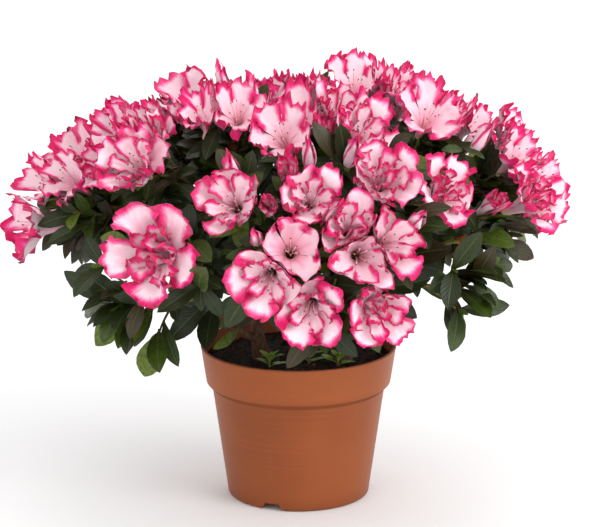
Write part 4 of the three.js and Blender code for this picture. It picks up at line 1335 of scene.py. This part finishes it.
def sepalVariety(seed, flare, wide):
    # five short leaflets round a foot, unit length, axis up
    random = makeRandom(seed)
    rows = (-0.1, 0.2, 0.55, 0.85, 1)
    parts = []
    for i in range(5):
        outward = around(2 * math.pi * (i + 0.3 * random()) / 5)
        across = np.cross(up, outward)
        tall = mix(0.7, 1.1, random())
        points = []
        for u in rows:
            half = wide * math.sin(math.pi * clamp(0.2 + 0.8 * u, 0.05, 0.97)) ** 0.8
            spine = outward * (0.3 + flare * u * u) + up * u * tall
            points += [spine - across * half - outward * half * 0.3, spine + outward * 0.06,
                       spine + across * half - outward * half * 0.3]
        parts.append((points, gridFaces(len(rows), 3)))
    return joinParts(f"sepal_{seed}", parts)


def makeHearts():
    flowering = floweringOf(masses)
    openBlooms = [shoot for shoot in flowering if shoot["form"] in ("single", "hose")]
    centres = [shootPlace(shoot, i % hearts["varieties"]) for i, shoot in enumerate(openBlooms)]
    feet, trusses = [], []
    for i, shoot in enumerate(flowering):
        span = hearts["sepalLength"] * (1 if shoot["kind"] == "bloom" else hearts["budSepals"])
        feet.append((shoot["base"] - shoot["facing"] * 0.5, shootTurn(shoot), (span, span, span),
                     i % hearts["sepalVarieties"]))
    for i, mass in enumerate(masses):
        axis = unit(mass["hub"] - mass["tip"])
        for lift, share in hearts["scaleRows"]:
            span = share * hearts["scaleLength"]
            trusses.append((mass["hub"] - axis * (3 - lift), turnFrom(*squareTo(axis), axis),
                            (span * 0.7, span * 0.7, span), i % hearts["sepalVarieties"]))
    count, sepalCount = hearts["varieties"], hearts["sepalVarieties"]
    return [
        plantKind("filaments", varietiesOf(filamentVariety, "stamens", count), centres,
                  plainMaterial("filament", (240, 178, 192), (248, 214, 212), 300, 0.5)),
        plantKind("anthers", varietiesOf(antherVariety, "stamens", count), centres,
                  plainMaterial("anther", (92, 58, 38), (140, 96, 60), 900, 0.6)),
        plantKind("sepals", varietiesOf(sepalVariety, "sepal", sepalCount, *hearts["sepalShape"]), feet,
                  plainMaterial("sepal", (98, 120, 52), (150, 150, 78), 240, 0.5)),
        plantKind("bud_scales", varietiesOf(sepalVariety, "budScale", sepalCount, *hearts["scaleShape"]),
                  trusses, plainMaterial("bud_scale", (132, 74, 38), (186, 122, 66), 260, 0.55))]


heartPieces = makeHearts()
print("hearts", [len(piece.data.polygons) for piece in heartPieces], "faces")


# ---- young leaves on the soil

tufts = {"feet": [(7, -18), (-19, -27), (26, -24)], "leaves": 11, "height": 8, "length": 14,
         "climb": (0.2, 0.95), "shortening": (1.05, 0.6), "lengthRange": (0.8, 1.1), "varieties": 4}


def makeYoungLeaves():
    random = makeRandom(seedOf("youngPlaces"))
    places = []
    for x, y in tufts["feet"]:
        for i in range(tufts["leaves"]):
            share = i / (tufts["leaves"] - 1)
            angle = math.radians(i * goldenAngle + 40 * random())
            direction = unit(around(angle) + up * mix(*tufts["climb"], share))
            span = tufts["length"] * mix(*tufts["shortening"], share) * mix(*tufts["lengthRange"], random())
            root = np.array([x, y, soilSizes["level"] - 1 + tufts["height"] * mix(0.1, 1, share)])
            places.append(leafPlace(root, direction, squared(up, direction), span, i % tufts["varieties"]))
    return plantKind("young_leaves", varietiesOf(leafVariety, "youngLeaf", tufts["varieties"]), places,
                     plainMaterial("young_leaf", (104, 146, 44), (156, 186, 82), 160, 0.42))


youngPiece = makeYoungLeaves()


# ---- stems, boughs and twigs

wood = {
    "stemParts": 24, "boughParts": 14, "sides": 12, "relief": 0.0005, "reliefScale": 420,
    "twigSides": 6, "twigRelief": 0.00012, "hub": (1.5, 1.15), "shoot": (1.0, 0.75), "side": (0.7, 0.45),
    "tuft": (0.9, 0.6),            # first and last radius of each kind of twig
}
barkLook = {
    "specular": 0.25,
    "noises": [(0.28, 520, 4, 0.65), (1, 60, 2, 0.5)],     # height factor, scale, detail, roughness
    "stops": [(0.25, 48, 32, 24), (0.45, 84, 58, 42), (0.6, 110, 82, 60), (0.78, 142, 116, 88)],
    "over": (0.45, 0.7, 0.5, (92, 50, 36)), "roughness": (0, 0.3, 0.62), "relief": (0, 0.7, 0.0006),
}
twigLook = {
    "specular": 0.3, "noises": [(1, 22, 2, 0.5), (0.3, 600, 3, 0.5)],
    "stops": [(0.36, 78, 54, 36), (0.46, 104, 86, 46), (0.54, 130, 130, 60), (0.68, 150, 158, 76)],
    "over": (0.4, 0.7, 0.4, (60, 44, 30)), "roughness": (1, 0.2, 0.5),
}


def tubeTree(name, material):
    net, given = newGrowth(name, {"Sides": "Int", "Relief": "Float", "Relief Scale": "Float"})
    curve = net.node("GeometryNodeMeshToCurve", None, {"Mesh": given["Geometry"]})
    ring = net.node("GeometryNodeCurvePrimitiveCircle", None, {"Resolution": given["Sides"], "Radius": 1.0})
    tube = net.node("GeometryNodeCurveToMesh", None, {
        "Curve": curve, "Profile Curve": ring, "Scale": net.named("girth"), "Fill Caps": True})
    drawn = net.vector("MULTIPLY", {0: net.node("GeometryNodeInputPosition"), 1: (1, 1, 0.3)})
    ridges = net.noise(drawn, given["Relief Scale"], 3, 0.6) - 0.5
    return endGrowth(net, movedBy(net, tube, net.node("GeometryNodeInputNormal"),
                                  ridges * given["Relief"] * 2.6), material)


def growTubes(name, lines, material, sides, relief):
    points, edges, girths = [], [], []
    for line, radii in lines:
        edges += [(len(points) + i, len(points) + i + 1) for i in range(len(line) - 1)]
        points += [point * metre for point in line]
        girths += [radius * metre for radius in radii]
    mesh = meshFrom(name + "Lines", points, [], edges)
    putAttribute(mesh, "girth", "FLOAT", girths)
    piece = grow(name, addObject(name + "Lines", mesh), tubeTree(name + "Growing", material),
                 {"Sides": sides, "Relief": relief, "Relief Scale": wood["reliefScale"]})
    smoothShade(piece.data)
    return piece


def bentLine(start, end, leave, radii, count=5):
    # a twig that sets off along leave and bends to its end
    middle = mix(start, end, 0.45) + leave * length(end - start) * 0.12
    shares = np.linspace(0, 1, count + 1)
    return ([mix(mix(start, middle, share), mix(middle, end, share), share) for share in shares],
            [mix(*radii, share) for share in shares])


def makeWood():
    straight = np.zeros(3)
    woody = [sampleLimb(limb, wood["stemParts" if limb["isStem"] else "boughParts"]) for limb in limbs]
    lines = []
    for mass in masses:
        tip, hub = mass["tip"], mass["hub"]
        lines.append(bentLine(tip - curvePoint(mass["bough"], 1)[1], hub, straight, wood["hub"]))
        for shoot in mass["allShoots"]:
            end = shoot["base"] + shoot["facing"] * 1.2
            lines.append(bentLine(shoot["fork"], end, unit(hub - tip), wood["shoot"]))
        lines += [bentLine(start, end, straight, wood["side"], 2) for start, end in mass["sideTwigs"]]
    for x, y in tufts["feet"]:
        foot = np.array([x, y, soilSizes["level"] - 3])
        lines.append(bentLine(foot, foot + up * (tufts["height"] + 3), straight, wood["tuft"], 2))
    return (growTubes("stems_and_boughs", woody, grainMaterial("azalea_bark", barkLook), wood["sides"],
                      wood["relief"]),
            growTubes("twigs", lines, grainMaterial("young_twig", twigLook), wood["twigSides"],
                      wood["twigRelief"]))


woodPiece, twigPiece = makeWood()
print("wood", len(woodPiece.data.polygons), "twigs", len(twigPiece.data.polygons), "faces")


# ---- pot

bandFoot = potSizes["height"] - potSizes["bandHeight"]
bodyTop = bandFoot - potSizes["stepHeight"]


def arc(centreR, centreZ, radius, start, end, count=5):
    angles = np.radians(np.linspace(start, end, count + 1))
    return [(centreR + radius * math.cos(a), centreZ + radius * math.sin(a)) for a in angles]


def wallRadius(z):
    return mix(potSizes["footRadius"], potSizes["bodyRadius"], z / bodyTop)


def bandRadius(z):
    return mix(potSizes["bandFootRadius"], potSizes["rimRadius"], (z - bandFoot) / potSizes["bandHeight"])


def potProfile():
    # up the outside, over the lip and down the inside, as radius and height
    p = potSizes
    ringLevel = bodyTop - p["ringDrop"]
    rounding = p["footRounding"]
    profile = [(p["footRadius"] - rounding, 0)]
    profile += arc(wallRadius(rounding) - rounding, rounding, rounding, -90, 0)
    for rise, share in ((-2, 0.9), (-1.2, 1), (-0.6, 0.7), (0, 0), (1, 0)):     # the moulded line
        profile.append((wallRadius(ringLevel + rise) - p["ringDepth"] * share, ringLevel + rise))
    profile += [(p["bodyRadius"] - 0.1, bodyTop - 1), (p["bodyRadius"] + 0.3, bodyTop)]
    profile += [(p["bandFootRadius"] - 0.8, bandFoot - 0.6), (p["bandFootRadius"] - 0.1, bandFoot + 0.2)]
    rows = p["bandLines"] * 4
    for i in range(1, rows):
        z = bandFoot + 0.8 + (p["bandHeight"] - 3.2) * i / rows
        profile.append((bandRadius(z) - p["bandLineDepth"] * (0.5 - 0.5 * math.cos(i * math.pi / 2)), z))
    profile += arc(p["rimRadius"] - p["lip"] - 0.1, p["height"] - p["lip"] - 0.1, p["lip"] + 0.1, 0, 90)
    profile += arc(p["rimRadius"] - p["wall"], p["height"] - 0.4, 0.4, 90, 180, 3)
    return profile + [(bandRadius(bandFoot + 1) - p["wall"], bandFoot + 1),
                      *((wallRadius(z) - p["wall"], z) for z in (bodyTop, p["floor"]))]


def plasticMaterial():
    material, net = newMaterial("terracotta_plastic", {"Specular IOR Level": 0.17})
    place = net.objectPlace()
    z = net.part(place, 2)
    foot = bandFoot * metre
    cloud = net.noise(place, 16, 3)
    speck = net.noise(place, 900, 2)
    rings = net.noise(net.vector("MULTIPLY", {0: place, 1: (0.4, 0.4, 60)}), 14, 2)
    base = net.blend(net.smooth(cloud, 0.35, 0.65), color(139, 73, 39), color(149, 80, 44))
    scuffed = net.blend(net.smooth(rings, 0.52, 0.72) * 0.16, base, color(166, 92, 54))
    # painted light: the rim band is painted lighter from its foot up, as lamps light a band that faces up
    # more
    paintedBandLight = net.blend(net.smooth(z, foot - 0.003, foot + 0.004) * 0.5, scuffed, color(168, 90, 50))
    low = 1 - net.smooth(z, 0.0, 0.012)
    # painted shade: the step under the band's foot is painted dark where the band shades it; the same mask
    # makes the step rough
    shadedStep = net.smooth(z, foot - 0.0042, foot - 0.0032) * (1 - net.smooth(z, foot - 0.0006, foot + 0.0004))
    # the foot darker towards the bottom, and the painted shade of the step
    dark = net.math("MAXIMUM", low * 0.3, shadedStep * 0.42)
    net.feed("Base Color", net.blend(dark, paintedBandLight, color(104, 53, 29)))
    net.feed("Roughness", net.math("MAXIMUM", cloud * 0.16 + speck * 0.08 + 0.3, shadedStep * 0.9))
    net.relief(speck * 0.6 + rings * 0.4, 0.12, 0.0004)
    return material


def notchCutter(index):
    # a wedge that opens a drain notch through the foot
    notch = potSizes["notch"]
    w, top, h = notch["width"] / 2, notch["topWidth"] / 2, notch["height"]
    outline = [(-w, -1), (w, -1), (top, h), (-top, h)]
    turn = Matrix.Rotation(math.radians(notch["bearing"] + 360 / notch["count"] * index), 3, "Z")
    reach = (potSizes["footRadius"] - notch["depth"], potSizes["footRadius"] + 8)
    points = [turn @ Vector((x, -r, z)) for r in reach for x, z in outline]
    faces = [(3, 2, 1, 0), (4, 5, 6, 7), (1, 5, 4, 0), (2, 6, 5, 1), (3, 7, 6, 2), (0, 4, 7, 3)]
    name = f"notchCutter{index}"
    return addObject(name, meshFrom(name, [tuple(metre * c for c in point) for point in points], faces))


def makePot():
    profile = potProfile()
    rings = [ringPoints(radius, z, potSizes["segments"]) for radius, z in profile]
    ends = [profile[i][1] * metre for i in (0, -1)]
    pot = addObject("pot_shell", latheMesh("pot_shell", rings, ends))
    cutters = [notchCutter(i) for i in range(potSizes["notch"]["count"])]
    for cutter in cutters:
        cut = pot.modifiers.new("notch", "BOOLEAN")
        cut.operation, cut.object, cut.solver = "DIFFERENCE", cutter, "EXACT"
    depsgraph = bpy.context.evaluated_depsgraph_get()
    mesh = bpy.data.meshes.new_from_object(pot.evaluated_get(depsgraph), depsgraph=depsgraph)
    pot.modifiers.clear()
    pot.data = mesh
    mesh.name = "pot_shell"
    for cutter in cutters:
        bpy.data.objects.remove(cutter)
    mesh.materials.clear()
    mesh.materials.append(plasticMaterial())
    smoothShade(mesh)
    mesh.set_sharp_from_angle(angle=math.radians(38))
    return pot


potPiece = makePot()
print("pot", len(potPiece.data.polygons), "faces")


# ---- soil

soilLook = {"rings": 26, "segments": 96, "heave": 1.5, "air": 0.4, "centre": 2, "varieties": 6}
# how many to a square metre, their size and their room to the wall in metres, and the seed
scattered = {
    "peat_crumbs": {"density": 26000.0, "size": 0.0014, "room": 0.002, "seed": 3},
    "peat_fibres": {"density": 2600.0, "size": 0.0026, "room": 0.0065, "seed": 8},
}
peatLook = {
    "specular": 0.2, "noises": [(1, 420, 5, 0.7), (1, 110, 3, 0.5)],
    "stops": [(0.3, 16, 11, 9), (0.5, 36, 25, 19), (0.66, 66, 44, 32), (0.8, 98, 66, 44)],
    "over": (0.5, 0.7, 0.5, (24, 17, 14)), "roughness": (0, 0.2, 0.75), "relief": (1, 0.8, 0.0015),
}
crumbLook = {
    "specular": 0.2, "noises": [(1, 260, 1, 0.5), (1, 900, 2, 0.5)],
    "stops": [(0.3, 22, 15, 12), (0.48, 48, 31, 23), (0.62, 92, 54, 38), (0.76, 128, 92, 62)],
    "roughness": (1, 0.2, 0.75),
}


def soilMesh():
    level, centre, segments = soilSizes["level"], soilLook["centre"], soilLook["segments"]
    wall, air = potSizes["wall"], soilLook["air"]
    outer = bandRadius(level - soilSizes["edgeDrop"]) - wall - air
    rings = []
    for ring in range(soilLook["rings"] + 1):
        radius = centre + (outer - centre) * (ring / soilLook["rings"])
        drop = soilSizes["edgeDrop"] * step(outer - soilSizes["edgeWidth"], outer, radius)

        def height(angle):
            bumps = math.sin(angle * 5 + radius * 0.31) + math.sin(angle * 9 - radius * 0.47) \
                + math.sin(angle * 3 + radius * 0.9)
            return level - drop + soilLook["heave"] * 0.22 * bumps * min(1, radius / 10) - 0.3
        rings.append(ringPoints(radius, height, segments))
    bottom = potSizes["floor"] + 0.5
    for z in (bandFoot + 1.5, bodyTop - 0.5, bottom):
        radius = (bandRadius(z) if z > bandFoot else wallRadius(z)) - wall - air
        rings.append(ringPoints(radius, z, segments))
    return latheMesh("peat", rings, (level * metre - 0.0003, bottom * metre), downward=True)


def crumbVariety(seed):
    random = makeRandom(seed)
    points = [(0, 0, 0.8 + 0.3 * random())]
    for ring, (radius, height) in enumerate(((0.8, 0.4), (0.9, -0.3))):
        for i in range(5):
            angle = 2 * math.pi * (i + 0.5 * ring) / 5
            r = radius * mix(0.7, 1.25, random())
            points.append((r * math.cos(angle), r * math.sin(angle), height + 0.3 * (random() - 0.5)))
    points.append((0, 0, -0.8))
    faces = [(0, 1 + i, 1 + (i + 1) % 5) for i in range(5)]
    for i in range(5):
        n = (i + 1) % 5
        faces += [(1 + i, 6 + i, 1 + n), (1 + n, 6 + i, 6 + n), (11, 6 + n, 6 + i)]
    return meshFrom(f"crumb_{seed}", points, faces)


def fibreVariety(seed):
    random = makeRandom(seed)
    bend = mix(-0.6, 0.6, random())
    points = []
    for u in (0, 0.25, 0.5, 0.75, 1):
        y, z = bend * (u - 0.5) ** 2, 0.18 * math.sin(u * 3.1 + random())
        for j in range(3):
            angle = 2 * math.pi * j / 3
            points.append((3 * (u - 0.5), y + 0.09 * math.cos(angle), z + 0.09 * math.sin(angle)))
    return meshFrom(f"fibre_{seed}", points, tubeFaces(5, 3))


def scatterTree(name, material):
    net, given = newGrowth(name, {
        "Varieties": "Collection", "Density": "Float", "Size": "Float", "Seed": "Int",
        "Least Height": "Float", "Most Radius": "Float"})
    position = net.node("GeometryNodeInputPosition")
    away = net.vector("LENGTH", {0: net.vector("MULTIPLY", {0: position, 1: (1, 1, 0)})}, 1)
    facing = net.part(net.node("GeometryNodeInputNormal"), 2)
    chosen = net.part(position, 2).math("GREATER_THAN", given["Least Height"]) \
        * facing.math("GREATER_THAN", 0.5) * away.math("LESS_THAN", given["Most Radius"])
    points = net.node("GeometryNodeDistributePointsOnFaces", None, {
        "Mesh": given["Geometry"], "Selection": chosen, "Density": given["Density"], "Seed": given["Seed"]})
    turn, size, which = (
        net.node("FunctionNodeRandomValue", {"data_type": kind}, {**limits, "Seed": given["Seed"]}, output)
        for kind, limits, output in (("FLOAT_VECTOR", {0: (-0.6, -0.6, 0), 1: (0.6, 0.6, 6.28)}, 0),
                                     ("FLOAT", {2: 0.35, 3: 1.3}, 1),
                                     ("INT", {4: 0, 5: soilLook["varieties"] - 1}, 2)))
    return endGrowth(net, instancesOn(net, given, points, which, turn, size * given["Size"]), material)


def makeSoil():
    mesh = soilMesh()
    mesh.materials.append(grainMaterial("damp_peat", peatLook))
    smoothShade(mesh)
    pieces = [addObject("peat", mesh)]
    skin = grainMaterial("peat_crumbs", crumbLook)
    top, rim = soilSizes["level"] - 4, bandRadius(soilSizes["level"]) - potSizes["wall"]
    for (name, spec), maker in zip(scattered.items(), (crumbVariety, fibreVariety)):
        varieties = varietyCollection(name + "Varieties", varietiesOf(maker, "peat", soilLook["varieties"]))
        ground = addObject(name + "Ground", mesh.copy())
        pieces.append(grow(name, ground, scatterTree(name + "Scatter", skin), {
            "Varieties": varieties, "Density": spec["density"], "Size": spec["size"], "Seed": spec["seed"],
            "Least Height": metre * top, "Most Radius": metre * rim - spec["room"]}))
        dropCollection(varieties)
    return pieces


soilPieces = makeSoil()
print("soil", [len(piece.data.polygons) for piece in soilPieces], "faces")


# ---- what rides where

flowerNodes = [name for name in frame["nodes"] if name.startswith("mass_") and "young" not in name]
leafNodes = [name for name in flowerNodes if "leaves" in name]
bloomNodes = [name for name in flowerNodes if "leaves" not in name]
woodNodes = [name for name in frame["nodes"] if name.startswith(("stem_", "bough_"))]
for piece, slotName, nodes in (
        (blossomPieces[0], "blossom", bloomNodes), (blossomPieces[1], "blossom", []),
        (leafPiece, "leaves", leafNodes), (youngPiece, "leaves", ["mass_young_leaves"]),
        (heartPieces[0], "blossom", []), (heartPieces[1], "blossom", []), (heartPieces[2], "leaves", []),
        (heartPieces[3], "wood", []),
        (twigPiece, "wood", []), (woodPiece, "wood", woodNodes),
        (potPiece, "pot", ["pot"]), (soilPieces[0], "soil", ["soil"]),
        (soilPieces[1], "soil", []), (soilPieces[2], "soil", [])):
    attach(piece, "root")
    if nodes:
        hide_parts(*nodes)


# ---- floor, light and camera

studio = {
    "key": {"place": (1.9, -1.6, 1.6), "size": 1.6, "power": 38},
    "fill": {"place": (-1.2, -2.2, 1.2), "size": 1.6, "power": 8.5},
    "back": {"place": (0.4, 1.9, 1.9), "size": 1.4, "power": 12},
}
stageLook = {"floor": 0.96, "half": 6, "drop": 0.0002, "world": 0.95, "aim": (0, 0, 0.16)}
view = {"elevation": 15, "distance": 2.5, "aim": (0.001, 0, 0.157), "lens": 227.3, "sensor": 36}

half = stageLook["half"]
floorMesh = meshFrom("floor", [(-half, -half, 0), (half, -half, 0), (half, half, 0), (-half, half, 0)],
                     [(0, 1, 2, 3)])
floorMesh.materials.append(newMaterial("studio_floor", {
    "Roughness": 0.9, "Specular IOR Level": 0.1, "Base Color": (*[stageLook["floor"]] * 3, 1)})[0])
floor = addObject("floor", floorMesh)
floor.location.z = -stageLook["drop"]

world = bpy.data.worlds.new("studio")
bpy.context.scene.world = world
world.use_nodes = True
world.node_tree.nodes["Background"].inputs["Color"].default_value = (1, 1, 1, 1)
world.node_tree.nodes["Background"].inputs["Strength"].default_value = stageLook["world"]

for name, light in studio.items():
    lamp = bpy.data.lights.new(name, "AREA")
    lamp.energy, lamp.size = light["power"], light["size"]
    toward = unit(np.array(stageLook["aim"]) - np.array(light["place"]))
    across = unit(np.cross(toward, up))
    addObject(name, lamp).matrix_world = Matrix.Translation(light["place"]) @ Matrix(
        (across, np.cross(across, toward), -toward)).transposed().to_4x4()

elevation = math.radians(view["elevation"])
lens = bpy.data.cameras.new("camera")
lens.lens, lens.sensor_width = view["lens"], view["sensor"]
camera = addObject("camera", lens)
camera.location = (view["aim"][0], view["aim"][1] - view["distance"] * math.cos(elevation),
                   view["aim"][2] + view["distance"] * math.sin(elevation))
camera.rotation_euler = (math.pi / 2 - elevation, 0, 0)
bpy.context.scene.camera = camera
bpy.context.scene.view_settings.view_transform = "Standard"
